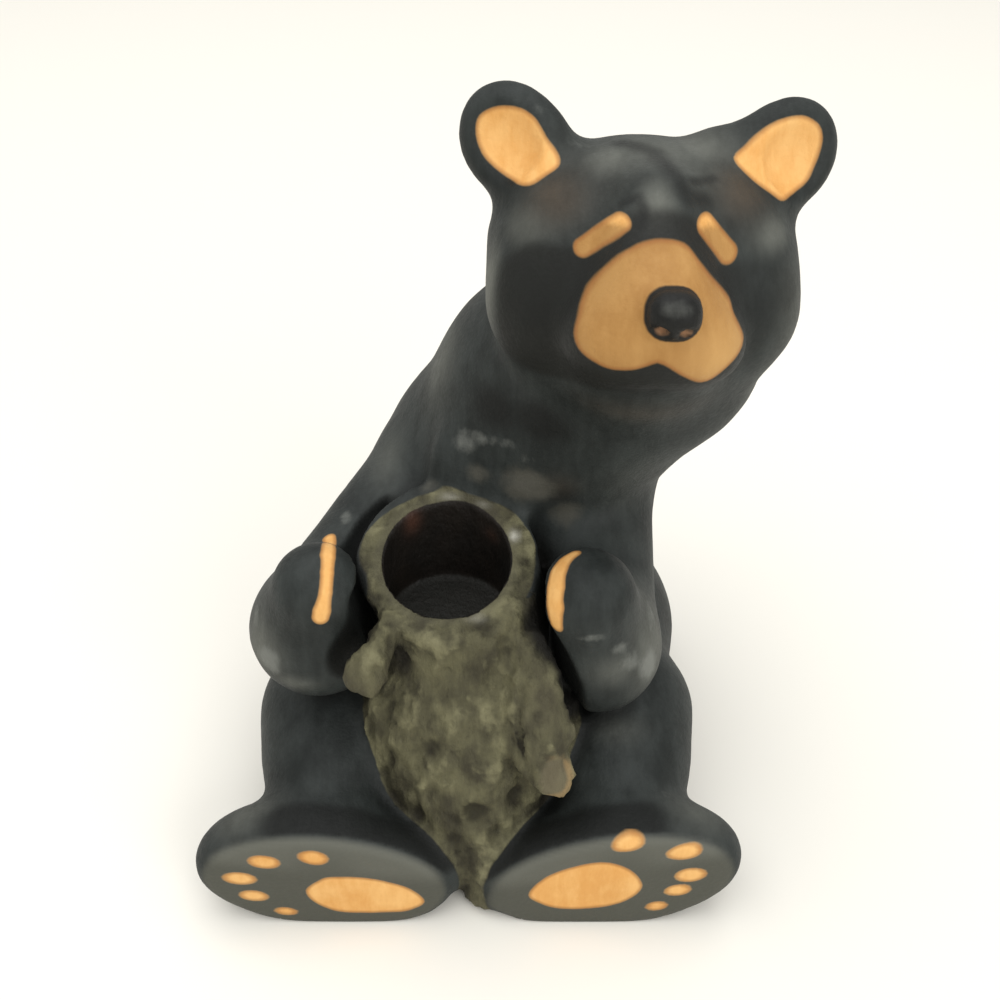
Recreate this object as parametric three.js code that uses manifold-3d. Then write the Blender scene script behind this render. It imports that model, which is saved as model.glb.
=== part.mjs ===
// A sitting bear that hugs a hollow tree stump: a figurine that holds one taper candle.
// Everything is one solid casting with a painted finish, so the part is a single closed mesh.
// Millimetres, +Z up. The bear faces -Y and stands with its underside on z = 0.

import * as THREE from "three";
import Module from "manifold-3d";

// Driving sizes, in millimetres and degrees.
const FIGURE_HEIGHT = 134.7;
const BORE_DIAMETER = 22;
const BORE_DEPTH = 14;
const BORE_X = -3;
const RIM_HEIGHT = 62;
const RIM_SLOPE = 18;
const STUMP_WALL = 5.3;
const CANDLE_WAY_TOP = 86;

// The point under the middle of the figure, measured from the foot of the bore's axis.
const MIDDLE_X = 7;
const MIDDLE_Y = 19;

// Facet sizes: fine for the face and the front, wider for the legs and for the plain back.
const HEAD_FACET = 3.1;
const BODY_FACET = 3.6;
const SIDE_FACET = 3.3;
const BACK_FACET = 4.8;
const HEAD_FROM_Z = 88;
const BACK_FROM_Y = 26;
const BORE_SIDES = 48;
const CUT_ALLOWANCE = 10;

// The free form is laid out in shares of the figure's height up to the tips of its ears,
// with the bore's axis at y = 0 and the middle of the feet at x = 0.
const EAR_TIPS = 97.6;
const SHARE = FIGURE_HEIGHT / EAR_TIPS;
const BORE_AXIS = BORE_X / SHARE;
const RIM_Z = RIM_HEIGHT / SHARE;
const RIM_RADIUS = (BORE_DIAMETER / 2 + STUMP_WALL) / SHARE;
const BELOW_TABLE = 2.5;
const STUMP_CREASE = 2.6;
const PINCH_FILL = 0.01;
const EVENING_PASSES = 3;
const EVENING_SHARE = 0.5;
const BOX_LOW = [-40, -27, -7];
const BOX_HIGH = [48, 54, 103];

const radians = (degrees) => (degrees * Math.PI) / 180;

// Turns a point into the axes of a shape that is yawed, lifted at its front and rolled.
function turning(yaw, lift, roll) {
  const euler = new THREE.Euler(radians(-lift), radians(roll), radians(yaw), "ZXY");
  const matrix = new THREE.Matrix4().makeRotationFromEuler(euler);
  return matrix.transpose();
}

function local(point, centre, turned) {
  const moved = point.clone().sub(new THREE.Vector3(...centre));
  return turned ? moved.applyMatrix4(turned) : moved;
}

const mirrored = (point) => new THREE.Vector3(Math.abs(point.x), point.y, point.z);

// Distance to an egg shape with three radii.
function egg(point, centre, radii, turned) {
  const q = local(point, centre, turned);
  const near = Math.hypot(q.x / radii[0], q.y / radii[1], q.z / radii[2]);
  const slope = Math.hypot(q.x / radii[0] ** 2, q.y / radii[1] ** 2, q.z / radii[2] ** 2);
  return (near * (near - 1)) / Math.max(slope, 1e-9);
}

// Distance to a tapered limb with round ends.
function limb(point, start, end, startRadius, endRadius) {
  const from = new THREE.Vector3(...start);
  const along = new THREE.Vector3(...end).sub(from);
  const offset = point.clone().sub(from);
  const length2 = along.lengthSq();
  const taper = startRadius - endRadius;
  const lean2 = length2 - taper * taper;
  const y = offset.dot(along);
  const z = y - length2;
  const x2 = offset.clone().multiplyScalar(length2).addScaledVector(along, -y).lengthSq();
  const y2 = y * y * length2;
  const z2 = z * z * length2;
  const k = Math.sign(taper) * taper * taper * x2;
  if (Math.sign(z) * lean2 * z2 > k) {
    return Math.sqrt(x2 + z2) / length2 - endRadius;
  }
  if (Math.sign(y) * lean2 * y2 < k) {
    return Math.sqrt(x2 + y2) / length2 - startRadius;
  }
  return (Math.sqrt((x2 * lean2) / length2) + y * taper) / length2 - startRadius;
}

// Joins shapes with a soft crease of the given width.
function join(crease, ...distances) {
  return distances.reduce((a, b) => {
    const h = Math.max(crease - Math.abs(a - b), 0) / crease;
    return Math.min(a, b) - (h * h * crease) / 4;
  });
}

const carve = (crease, shape, tool) => -join(crease, -shape, tool);
const meet = (crease, a, b) => -join(crease, -a, -b);

// The head leans to the bear's left and is lifted a little.
const HEAD_AT = [21.1, 13, 78.5];
const HEAD_TURN = turning(0, 17, 2);
const CHEEK_TURN = turning(0, 0, 12);
const JOWL_TURN = turning(0, 0, 8);
const EAR_TURN = turning(14, 0, 37);

function head(point) {
  const q = local(point, HEAD_AT, HEAD_TURN);
  const s = mirrored(q);
  const skull = egg(q, [0, 3, 2.2], [18.2, 15.5, 12.6]);
  const jaw = egg(q, [0, -6.5, -8.5], [10, 9, 7.5]);
  const cheek = egg(s, [9.3, -2.5, -3.4], [8.9, 9, 9.4], CHEEK_TURN);
  const muzzle = limb(q, [0, -8, -2.2], [0, -17, -2.6], 9.3, 6.8);
  const jowl = egg(s, [4.6, -14.5, -4.8], [5.3, 7, 4.8], JOWL_TURN);
  const bridge = limb(q, [0, -8.2, 7.6], [0, -14.5, 1.4], 4.6, 4.8);
  const nose = egg(q, [0, -23, -0.3], [2.8, 2.4, 2.6]);
  const face = join(3, join(3, join(4, skull, jaw), cheek), join(3, muzzle, jowl), bridge);
  const leftEar = ear(s, [16.1, 2.5, 13.6], [11, 3, 9]);
  const rightEar = ear(s, [16.2, 2.5, 13], [9.2, 3, 11.4]);
  return join(3, join(1, face, nose), q.x < 0 ? leftEar : rightEar);
}

// A round ear with a hollow front, on a broad root that runs out of the top of the head.
function ear(s, centre, rootFrom) {
  const e = local(s, centre, EAR_TURN);
  const shell = egg(e, [-0.4, 0, -0.2], [6, 3.6, 6.8]);
  const root = limb(s, rootFrom, [13.2, 2.5, 11.8], 4.8, 4.6);
  const hollow = egg(e, [-0.2, -3.8, -0.2], [4.2, 2.3, 5]);
  return carve(1.2, join(3, shell, root), hollow);
}

// The body leans with the head, so that the candle stands clear of the muzzle.
function torso(point) {
  const hips = [2.4, 27, 20];
  const waist = [6.2, 26, 40];
  const shoulders = [12.9, 23, 55];
  const neck = [21.4, 16.5, 68];
  const belly = limb(point, hips, waist, 20, 17.6);
  const chest = limb(point, waist, shoulders, 17.7, 16.3);
  const nape = limb(point, shoulders, neck, 16.3, 16.2);
  const rump = egg(point, [3, 26, 10.5], [27.8, 22, 18.5]);
  return join(8, join(4, belly, chest, nape), rump);
}

const LEGS_X = 1.2;

function legs(point) {
  const s = new THREE.Vector3(Math.abs(point.x - LEGS_X), point.y, point.z);
  const thigh = limb(s, [15.4, 20, 13.5], [19.4, -4, 11], 12.6, 9.2);
  const knee = egg(s, [19.4, 3, 14.2], [11, 10, 9.4]);
  const shin = limb(s, [19.4, -4, 11], [19.6, -13, 9], 9.2, 8);
  return join(4, thigh, knee, shin);
}

// Each foot stands on its heel and shows a flat sole to the front.
const FEET_X = 0.4;
const LEFT_FOOT_TURN = turning(0, 4, -7);
const RIGHT_FOOT_TURN = turning(0, 4, -12);
const SOLE_FORWARD = 3.6;

function feet(point) {
  const s = new THREE.Vector3(Math.abs(point.x - FEET_X), point.y, point.z);
  const turned = point.x < FEET_X ? LEFT_FOOT_TURN : RIGHT_FOOT_TURN;
  const q = local(s, [18.8, -18.3, 7], turned);
  const body = egg(q, [0, 0, 0], [17.2, 9, 9.2]);
  return meet(1.5, body, -q.y - SOLE_FORWARD);
}

// The forearms bend up at the elbows and the paws press on the sides of the stump.
function arms(point) {
  const leftUpper = limb(point, [-5.7, 22, 40], [-18.8, 0, 34], 8.9, 8.2);
  const leftFore = limb(point, [-19.2, -1.5, 34], [-17.9, -4, 43.2], 7.9, 5.9);
  const rightUpper = limb(point, [16.4, 20, 41], [17.2, -1, 32.5], 9.2, 7.6);
  const rightFore = limb(point, [17, -2.5, 31], [15.2, -5, 42.8], 7.6, 6.2);
  return Math.min(join(4, leftUpper, leftFore), join(4, rightUpper, rightFore));
}

// The stump swells between the legs, ends in a root at the front and opens in a sloping rim.
const SPLINTER_TURN = turning(0, 14, 8);

function stump(point) {
  const foot = limb(point, [0.2, -2, 8], [0.8, -2, 21], 13, 13.4);
  const middle = limb(point, [0.8, -2, 21], [0.2, -0.8, 35], 13.2, 9.4);
  const mouth = limb(point, [0.2, -0.8, 35], [BORE_AXIS, 0, RIM_Z + 2], 9.4, RIM_RADIUS);
  const slope = radians(RIM_SLOPE);
  const rim = (point.z - RIM_Z) * Math.cos(slope) - point.y * Math.sin(slope);
  const trunk = meet(1.5, join(4, foot, middle, mouth), rim);
  const root = limb(point, [-0.2, -6.5, 15.5], [2.4, -17.8, 2.6], 11, 3.2);
  const wedge = limb(point, [-9.6, -8.8, 41], [-12.6, -11.2, 35.4], 1.8, 3.6);
  const leftStub = meet(0.8, wedge, 33.6 - point.z);
  const branch = limb(point, [8, -8.2, 37.5], [9.4, -13.4, 28], 2.2, 4.2);
  const cutStub = limb(point, [9.4, -14.5, 25.4], [12.4, -17.4, 24], 3, 2.6);
  const splinter = egg(point, [4.6, 12.2, 50], [9, 3, 7.5], SPLINTER_TURN);
  return join(2, trunk, root, leftStub, branch, cutStub, splinter);
}

// The form runs on a little below the table, where it is cut away flat later.
function figure(point) {
  const seated = join(3, join(6, torso(point), legs(point)), feet(point));
  const bear = join(3, join(3.5, seated, head(point)), arms(point));
  const whole = join(STUMP_CREASE, bear, stump(point));
  return Math.max(whole, -BELOW_TABLE - point.z);
}

// Grid lines for one axis, in shares, with a facet size that depends on the place.
function gridLines(low, high, facetAt) {
  const lines = [low];
  while (lines.at(-1) < high) {
    lines.push(lines.at(-1) + facetAt(lines.at(-1)) / SHARE);
  }
  return lines;
}

// Wraps the free form in four-sided facets, one corner for every grid cell that it crosses.
function wrap(distance) {
  const xs = gridLines(BOX_LOW[0], BOX_HIGH[0], () => SIDE_FACET);
  const depthFacet = (y) => (y * SHARE < BACK_FROM_Y ? SIDE_FACET : BACK_FACET);
  const ys = gridLines(BOX_LOW[1], BOX_HIGH[1], depthFacet);
  const heightFacet = (z) => (z * SHARE < HEAD_FROM_Z ? BODY_FACET : HEAD_FACET);
  const zs = gridLines(BOX_LOW[2], BOX_HIGH[2], heightFacet);
  const lines = [xs, ys, zs];
  const count = lines.map((line) => line.length);
  const at = (i, j, k) => (i * count[1] + j) * count[2] + k;
  const place = (cell) => new THREE.Vector3(...cell.map((n, axis) => lines[axis][n]));
  const values = new Float64Array(count[0] * count[1] * count[2]);
  for (let i = 0; i < count[0]; i += 1) {
    for (let j = 0; j < count[1]; j += 1) {
      for (let k = 0; k < count[2]; k += 1) {
        values[at(i, j, k)] = distance(place([i, j, k]));
      }
    }
  }

  closePinches(values, count, at);
  fillPockets(values, count, at);

  const corners = [];
  const cornerOf = new Map();
  for (let i = 0; i < count[0] - 1; i += 1) {
    for (let j = 0; j < count[1] - 1; j += 1) {
      for (let k = 0; k < count[2] - 1; k += 1) {
        const corner = cellCorner([i, j, k]);
        if (corner) {
          cornerOf.set(at(i, j, k), corners.length);
          corners.push(settle(distance, corner));
        }
      }
    }
  }

  // The middle of the points where the form crosses the twelve edges of a cell.
  function cellCorner(cell) {
    const sum = new THREE.Vector3();
    let crossings = 0;
    for (let axis = 0; axis < 3; axis += 1) {
      for (const [u, v] of [[0, 0], [0, 1], [1, 0], [1, 1]]) {
        const start = [...cell];
        start[(axis + 1) % 3] += u;
        start[(axis + 2) % 3] += v;
        const end = [...start];
        end[axis] += 1;
        const a = values[at(...start)];
        const b = values[at(...end)];
        if (a < 0 !== b < 0) {
          sum.add(place(start).lerp(place(end), a / (a - b)));
          crossings += 1;
        }
      }
    }
    return crossings ? sum.divideScalar(crossings) : null;
  }

  const rings = [];
  for (let axis = 0; axis < 3; axis += 1) {
    const u = (axis + 1) % 3;
    const v = (axis + 2) % 3;
    for (let i = 1; i < count[0] - 1; i += 1) {
      for (let j = 1; j < count[1] - 1; j += 1) {
        for (let k = 1; k < count[2] - 1; k += 1) {
          const start = [i, j, k];
          const end = [...start];
          end[axis] += 1;
          const inside = values[at(...start)] < 0;
          if (inside !== values[at(...end)] < 0) {
            const ring = [[1, 1], [0, 1], [0, 0], [1, 0]].map(([du, dv]) => {
              const cell = [...start];
              cell[u] -= du;
              cell[v] -= dv;
              return cornerOf.get(at(...cell));
            });
            rings.push(inside ? ring : ring.reverse());
          }
        }
      }
    }
  }

  for (let pass = 0; pass < EVENING_PASSES; pass += 1) {
    even(distance, corners, rings);
  }
  return { corners, triangles: rings.flatMap((ring) => split(ring, corners)) };
}

// Evens out the facets: each corner moves to the middle of its neighbours and back on to the form.
function even(distance, corners, rings) {
  const sums = corners.map(() => new THREE.Vector3());
  const counts = corners.map(() => 0);
  for (const ring of rings) {
    ring.forEach((corner, n) => {
      const next = ring[(n + 1) % 4];
      sums[corner].add(corners[next]);
      counts[corner] += 1;
      sums[next].add(corners[corner]);
      counts[next] += 1;
    });
  }
  sums.forEach((sum, n) => {
    corners[n].lerp(sum.divideScalar(counts[n]), EVENING_SHARE);
    settle(distance, corners[n]);
  });
}

const NEXT_TO = [[1, 0, 0], [-1, 0, 0], [0, 1, 0], [0, -1, 0], [0, 0, 1], [0, 0, -1]];

// Fills any hollow that the form closes in, since the solid has none: all air joins up.
function fillPockets(values, count, at) {
  const air = new Uint8Array(values.length);
  const waiting = [[0, 0, 0]];
  air[0] = 1;
  while (waiting.length) {
    const from = waiting.pop();
    for (const step of NEXT_TO) {
      const next = from.map((n, axis) => n + step[axis]);
      const within = next.every((n, axis) => n >= 0 && n < count[axis]);
      const place = at(...next);
      if (within && !air[place] && values[place] >= 0) {
        air[place] = 1;
        waiting.push(next);
      }
    }
  }
  values.forEach((value, place) => {
    if (value >= 0 && !air[place]) {
      values[place] = -PINCH_FILL;
    }
  });
}

// The two edges of each side of a grid cell.
const CELL_SIDES = [
  [[1, 0, 0], [0, 1, 0]],
  [[0, 1, 0], [0, 0, 1]],
  [[0, 0, 1], [1, 0, 0]],
];

// Fills the bottom of a crevice where two walls would otherwise touch along a line.
function closePinches(values, count, at) {
  let changed = true;
  while (changed) {
    changed = false;
    for (let i = 0; i < count[0] - 1; i += 1) {
      for (let j = 0; j < count[1] - 1; j += 1) {
        for (let k = 0; k < count[2] - 1; k += 1) {
          for (const [u, v] of CELL_SIDES) {
            const face = [
              at(i, j, k),
              at(i + u[0], j + u[1], k + u[2]),
              at(i + u[0] + v[0], j + u[1] + v[1], k + u[2] + v[2]),
              at(i + v[0], j + v[1], k + v[2]),
            ];
            const [a, b, c, d] = face.map((n) => values[n] < 0);
            if (a === c && b === d && a !== b) {
              const open = a ? [face[1], face[3]] : [face[0], face[2]];
              const nearer = values[open[0]] < values[open[1]] ? open[0] : open[1];
              values[nearer] = -PINCH_FILL;
              changed = true;
            }
          }
        }
      }
    }
  }
}

// Moves a corner on to the form, by no more than half a facet at a time.
function settle(distance, corner) {
  const reach = 0.01;
  const most = BODY_FACET / SHARE / 2;
  for (let pass = 0; pass < 3; pass += 1) {
    const slope = ["x", "y", "z"].map((axis) => {
      const ahead = corner.clone();
      const behind = corner.clone();
      ahead[axis] += reach;
      behind[axis] -= reach;
      return (distance(ahead) - distance(behind)) / (2 * reach);
    });
    const gradient = new THREE.Vector3(...slope);
    const step = -distance(corner) / Math.max(gradient.lengthSq(), 0.05);
    corner.add(gradient.multiplyScalar(step).clampLength(0, most));
  }
  return corner;
}

// Divides a four-sided facet along its shorter diagonal.
function split(ring, corners) {
  const [a, b, c, d] = ring;
  const first = corners[a].distanceTo(corners[c]);
  const second = corners[b].distanceTo(corners[d]);
  return first <= second ? [a, b, c, a, c, d] : [b, c, d, b, d, a];
}

const wasm = await Module();
wasm.setup();

function solidFrom(geometry) {
  return new wasm.Manifold(
    new wasm.Mesh({
      numProp: 3,
      vertProperties: new Float32Array(geometry.positions),
      triVerts: new Uint32Array(geometry.triangles),
    }),
  );
}

// A round or square-edged cutting tool, made from a plain shape.
function toolFrom(shape) {
  const seen = new Map();
  const positions = [];
  const source = shape.getAttribute("position");
  const index = Array.from({ length: source.count }, (unused, n) => {
    const point = [source.getX(n), source.getY(n), source.getZ(n)];
    const key = point.map((value) => value.toFixed(4)).join(" ");
    if (!seen.has(key)) {
      seen.set(key, seen.size);
      positions.push(...point);
    }
    return seen.get(key);
  });
  const corners = Array.from(shape.getIndex().array, (n) => index[n]);
  const triangles = [];
  for (let n = 0; n < corners.length; n += 3) {
    const [a, b, c] = corners.slice(n, n + 3);
    if (a !== b && b !== c && c !== a) {
      triangles.push(a, b, c);
    }
  }
  return solidFrom({ positions, triangles });
}

// The candle bore: its flat floor lies BORE_DEPTH below the rim and it runs up past the splinter.
function boreTool() {
  const floor = RIM_HEIGHT - BORE_DEPTH;
  const height = CANDLE_WAY_TOP - floor;
  const shape = new THREE.CylinderGeometry(BORE_DIAMETER / 2, BORE_DIAMETER / 2, height, BORE_SIDES);
  shape.rotateX(Math.PI / 2);
  shape.translate(BORE_X, 0, floor + height / 2);
  return toolFrom(shape);
}

// Everything below the table is cut away, which leaves the flat underside.
function groundTool() {
  const width = 2 * FIGURE_HEIGHT;
  const shape = new THREE.BoxGeometry(width, width, CUT_ALLOWANCE);
  shape.translate(0, 0, -CUT_ALLOWANCE / 2);
  return toolFrom(shape);
}

const form = wrap(figure);
const positions = form.corners.flatMap((corner) => corner.toArray().map((value) => value * SHARE));
const casting = solidFrom({ positions, triangles: form.triangles })
  .subtract(boreTool())
  .subtract(groundTool())
  .translate([-MIDDLE_X, -MIDDLE_Y, 0]);

const mesh = casting.getMesh();
const geometry = new THREE.BufferGeometry();
geometry.setAttribute("position", new THREE.BufferAttribute(new Float32Array(mesh.vertProperties), 3));
geometry.setIndex(new THREE.BufferAttribute(new Uint32Array(mesh.triVerts), 1));
geometry.computeVertexNormals();

const paintedResin = new THREE.MeshStandardMaterial({
  color: 0x3a3e40,
  roughness: 0.6,
  metalness: 0,
});

const bear = new THREE.Mesh(geometry, paintedResin);
bear.name = "bear_candle_holder";

const part = new THREE.Group();
part.name = "bear_candle_holder_part";
part.add(bear);

export default part;
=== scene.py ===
import math

import bpy
import numpy as np
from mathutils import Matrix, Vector


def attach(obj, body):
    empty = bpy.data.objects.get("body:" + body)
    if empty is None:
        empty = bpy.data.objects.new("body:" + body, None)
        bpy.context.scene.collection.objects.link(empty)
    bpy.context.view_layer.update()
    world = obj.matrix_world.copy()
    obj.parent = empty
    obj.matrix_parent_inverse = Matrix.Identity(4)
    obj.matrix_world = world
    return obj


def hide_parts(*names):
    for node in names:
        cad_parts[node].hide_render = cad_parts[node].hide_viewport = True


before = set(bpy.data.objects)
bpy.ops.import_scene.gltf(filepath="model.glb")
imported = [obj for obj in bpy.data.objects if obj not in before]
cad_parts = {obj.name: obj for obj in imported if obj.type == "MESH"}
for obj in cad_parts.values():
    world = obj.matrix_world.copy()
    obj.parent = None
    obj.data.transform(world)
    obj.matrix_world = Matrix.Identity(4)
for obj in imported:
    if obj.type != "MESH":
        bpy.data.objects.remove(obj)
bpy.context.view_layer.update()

# The casting's sizes, in millimetres and degrees, as in the solid.
FIGURE_HEIGHT = 134.7
BORE_DIAMETER = 22
BORE_DEPTH = 14
BORE_X = -3
RIM_HEIGHT = 62
RIM_SLOPE = 18
STUMP_WALL = 5.3
CANDLE_WAY_TOP = 86
MIDDLE = np.array((7, 19, 0))
MILLIMETRES = 1000

# The form is laid out in shares of the height up to the tips of the ears.
EAR_TIPS = 97.6
SHARE = FIGURE_HEIGHT / EAR_TIPS
BORE_AXIS = BORE_X / SHARE
BORE_RADIUS = BORE_DIAMETER / 2 / SHARE
BORE_FLOOR = (RIM_HEIGHT - BORE_DEPTH) / SHARE
RIM_Z = RIM_HEIGHT / SHARE
RIM_RADIUS = (BORE_DIAMETER / 2 + STUMP_WALL) / SHARE
STUMP_CREASE = 2.6
RIM_LIP = 0.5
BORE_CORNER = 0.8
GAP = 2.4
GAP_CREASE = 0.7
BEHIND_PAWS = 4
TABLE_EDGE = 0.5

# The grid that the skin of the casting is drawn on, in shares.
FACET = 0.62
BOX_LOW = np.array((-40.0, -27.0, -1.5))
BOX_HIGH = np.array((48.0, 54.0, 100.0))
PINCH_FILL = 0.01


def turning(yaw, lift, roll):
    """Axes of a shape that is yawed, lifted at its front and rolled."""
    c, a, b = np.radians([yaw, -lift, roll])
    about_z = np.array([[np.cos(c), -np.sin(c), 0], [np.sin(c), np.cos(c), 0], [0, 0, 1]])
    about_x = np.array([[1, 0, 0], [0, np.cos(a), -np.sin(a)], [0, np.sin(a), np.cos(a)]])
    about_y = np.array([[np.cos(b), 0, np.sin(b)], [0, 1, 0], [-np.sin(b), 0, np.cos(b)]])
    return about_z @ about_x @ about_y


def local(points, centre, turned=None):
    """Points seen from the middle of a shape, along its own axes."""
    moved = points - np.array(centre, float)
    return moved if turned is None else moved @ turned


def mirrored(points, middle=0.0):
    """Both sides folded on to the right one."""
    folded = points.copy()
    folded[:, 0] = np.abs(folded[:, 0] - middle)
    return folded


def egg(points, centre, radii, turned=None):
    """Distance to an egg shape with three radii."""
    q = local(points, centre, turned)
    r = np.array(radii, float)
    near = np.linalg.norm(q / r, axis=1)
    slope = np.linalg.norm(q / r**2, axis=1)
    return near * (near - 1) / np.maximum(slope, 1e-9)


def limb(points, start, end, start_radius, end_radius):
    """Distance to a tapered limb with round ends."""
    start = np.array(start, float)
    along = np.array(end, float) - start
    offset = points - start
    length2 = along @ along
    taper = start_radius - end_radius
    lean2 = length2 - taper * taper
    y = offset @ along
    z = y - length2
    x2 = ((offset * length2 - y[:, None] * along) ** 2).sum(1)
    y2 = y * y * length2
    z2 = z * z * length2
    k = np.sign(taper) * taper * taper * x2
    side = (np.sqrt(np.maximum(x2 * lean2 / length2, 0)) + y * taper) / length2 - start_radius
    ahead = np.sqrt(x2 + z2) / length2 - end_radius
    behind = np.sqrt(x2 + y2) / length2 - start_radius
    past_end = np.sign(z) * lean2 * z2 > k
    past_start = np.sign(y) * lean2 * y2 < k
    return np.where(past_end, ahead, np.where(past_start, behind, side))


def block(points, centre, half, rounding):
    """Distance to a rounded block."""
    q = np.abs(local(points, centre)) - np.array(half, float)
    outside = np.linalg.norm(np.maximum(q, 0), axis=1)
    return outside + np.minimum(q.max(1), 0) - rounding


def join(crease, first, *rest):
    """Joins shapes with a soft crease of the given width."""
    for d in rest:
        h = np.maximum(crease - np.abs(first - d), 0) / crease
        first = np.minimum(first, d) - h * h * crease / 4
    return first


def carve(crease, shape, tool):
    return -join(crease, -shape, tool)


def meet(crease, a, b):
    return -join(crease, -a, -b)


HEAD_AT = (21.1, 13, 78.5)
HEAD_TURN = turning(0, 17, 2)
LEFT_EAR = ((16.1, 2.5, 13.6), (11, 3, 9))
RIGHT_EAR = ((16.2, 2.5, 13), (9.2, 3, 11.4))
EAR_TURN = turning(14, 0, 37)
NOSE_AT = (0.8, -23.1, -0.3)
NOSE_HALF = (0.6, 0.7, 0.25)
NOSE_ROUNDING = 2.15
NOSTRILS = ((-0.55, -25, -1.75), (1.95, -25, -1.85))


def nose(q):
    """A small rounded nose with two nostrils at its lower edge."""
    shape = block(q, NOSE_AT, NOSE_HALF, NOSE_ROUNDING)
    for nostril in NOSTRILS:
        shape = carve(0.5, shape, egg(q, nostril, (0.7, 0.8, 0.6)))
    return shape


def ear(s, centre, root_from):
    """A round ear with a hollow front, on a broad root."""
    e = local(s, centre, EAR_TURN)
    shell = egg(e, (-0.4, 0, -0.2), (6, 3.6, 6.8))
    root = limb(s, root_from, (13.2, 2.5, 11.8), 4.8, 4.6)
    hollow = egg(e, (-0.2, -3.8, -0.2), (4.2, 2.3, 5))
    return carve(1.2, join(3, shell, root), hollow)


def head(points):
    """The head leans to the bear's left and is lifted a little."""
    q = local(points, HEAD_AT, HEAD_TURN)
    s = mirrored(q)
    skull = egg(q, (0, 3, 2.2), (18.2, 15.5, 12.6))
    jaw = egg(q, (0, -6.5, -8.5), (10, 9, 7.5))
    cheek = egg(s, (9.3, -2.5, -3.4), (8.9, 9, 9.4), turning(0, 0, 12))
    muzzle = limb(q, (0, -8, -2.2), (0, -17, -2.6), 9.3, 6.8)
    jowl = egg(s, (4.6, -14.5, -4.8), (5.3, 7, 4.8), turning(0, 0, 8))
    bridge = limb(q, (0, -8.2, 7.6), (0, -14.5, 1.4), 4.6, 4.8)
    face = join(3, join(4, skull, jaw), cheek)
    face = join(3, face, join(3, muzzle, jowl), bridge)
    face = join(0.8, face, nose(q))
    ears = np.where(q[:, 0] < 0, ear(s, *LEFT_EAR), ear(s, *RIGHT_EAR))
    return join(3, face, ears)


def torso(points):
    hips, waist, shoulders, neck = (2.4, 27, 20), (6.2, 26, 40), (12.9, 23, 55), (21.4, 16.5, 68)
    belly = limb(points, hips, waist, 20, 17.6)
    chest = limb(points, waist, shoulders, 17.7, 16.3)
    nape = limb(points, shoulders, neck, 16.3, 16.2)
    rump = egg(points, (3, 26, 10.5), (27.8, 22, 18.5))
    return join(8, join(4, belly, chest, nape), rump)


LEGS_X = 1.2


def legs(points):
    s = mirrored(points, LEGS_X)
    thigh = limb(s, (15.4, 20, 13.5), (19.4, -4, 11), 12.6, 9.2)
    knee = egg(s, (19.4, 3, 14.2), (11, 10, 9.4))
    shin = limb(s, (19.4, -4, 11), (19.6, -13, 9), 9.2, 8)
    return join(4, thigh, knee, shin)


FEET_X = 0.4
FOOT_AT = (18.8, -18.3, 7)
LEFT_FOOT_TURN = turning(0, 4, -7)
RIGHT_FOOT_TURN = turning(0, 4, -12)
SOLE_FORWARD = 3.6


def along_feet(points):
    """Points seen along the axes of the nearer foot."""
    s = mirrored(points, FEET_X)
    left = local(s, FOOT_AT, LEFT_FOOT_TURN)
    right = local(s, FOOT_AT, RIGHT_FOOT_TURN)
    return np.where(points[:, :1] < FEET_X, left, right)


def feet(points):
    """Each foot stands on its heel and shows a flat sole to the front."""
    q = along_feet(points)
    body = egg(q, (0, 0, 0), (17.2, 9, 9.2))
    return meet(1.5, body, -q[:, 1] - SOLE_FORWARD)


def arms(points):
    """The forearms bend up at the elbows and the paws press on the sides of the stump."""
    left_upper = limb(points, (-5.7, 22, 40), (-18.8, 0, 34), 8.9, 8.2)
    left_fore = limb(points, (-19.2, -1.5, 34), (-17.9, -4, 43.2), 7.9, 5.9)
    right_upper = limb(points, (16.4, 20, 41), (17.2, -1, 32.5), 9.2, 7.6)
    right_fore = limb(points, (17, -2.5, 31), (15.2, -5, 42.8), 7.6, 6.2)
    return np.minimum(join(4, left_upper, left_fore), join(4, right_upper, right_fore))


# The right stub's cut end: a place on it and the way it faces.
CUT_STUB = ((8.8, -14.5, 25.6), (11.3, -17.4, 24.2))
CUT_FACE = (11.1, -18.5, 24.6)
CUT_FACES = np.array((0.55, -0.80, 0.24))

# Splits in the bark beside the stubs: the places along each and its width.
SPLITS = (
    (((7.1, -11, 38.2), (6.6, -13.4, 34), (6.4, -14.9, 31)), 0.6),
    (((6.4, -14.9, 31), (7.4, -17, 27)), 0.45),
    (((-10, -8.6, 41), (-9.2, -11.4, 35), (-7.6, -13.8, 29)), 0.6),
)


def above_rim(points):
    """Height over the slope of the rim."""
    slope = np.radians(RIM_SLOPE)
    return (points[:, 2] - RIM_Z) * np.cos(slope) - points[:, 1] * np.sin(slope)


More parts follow.
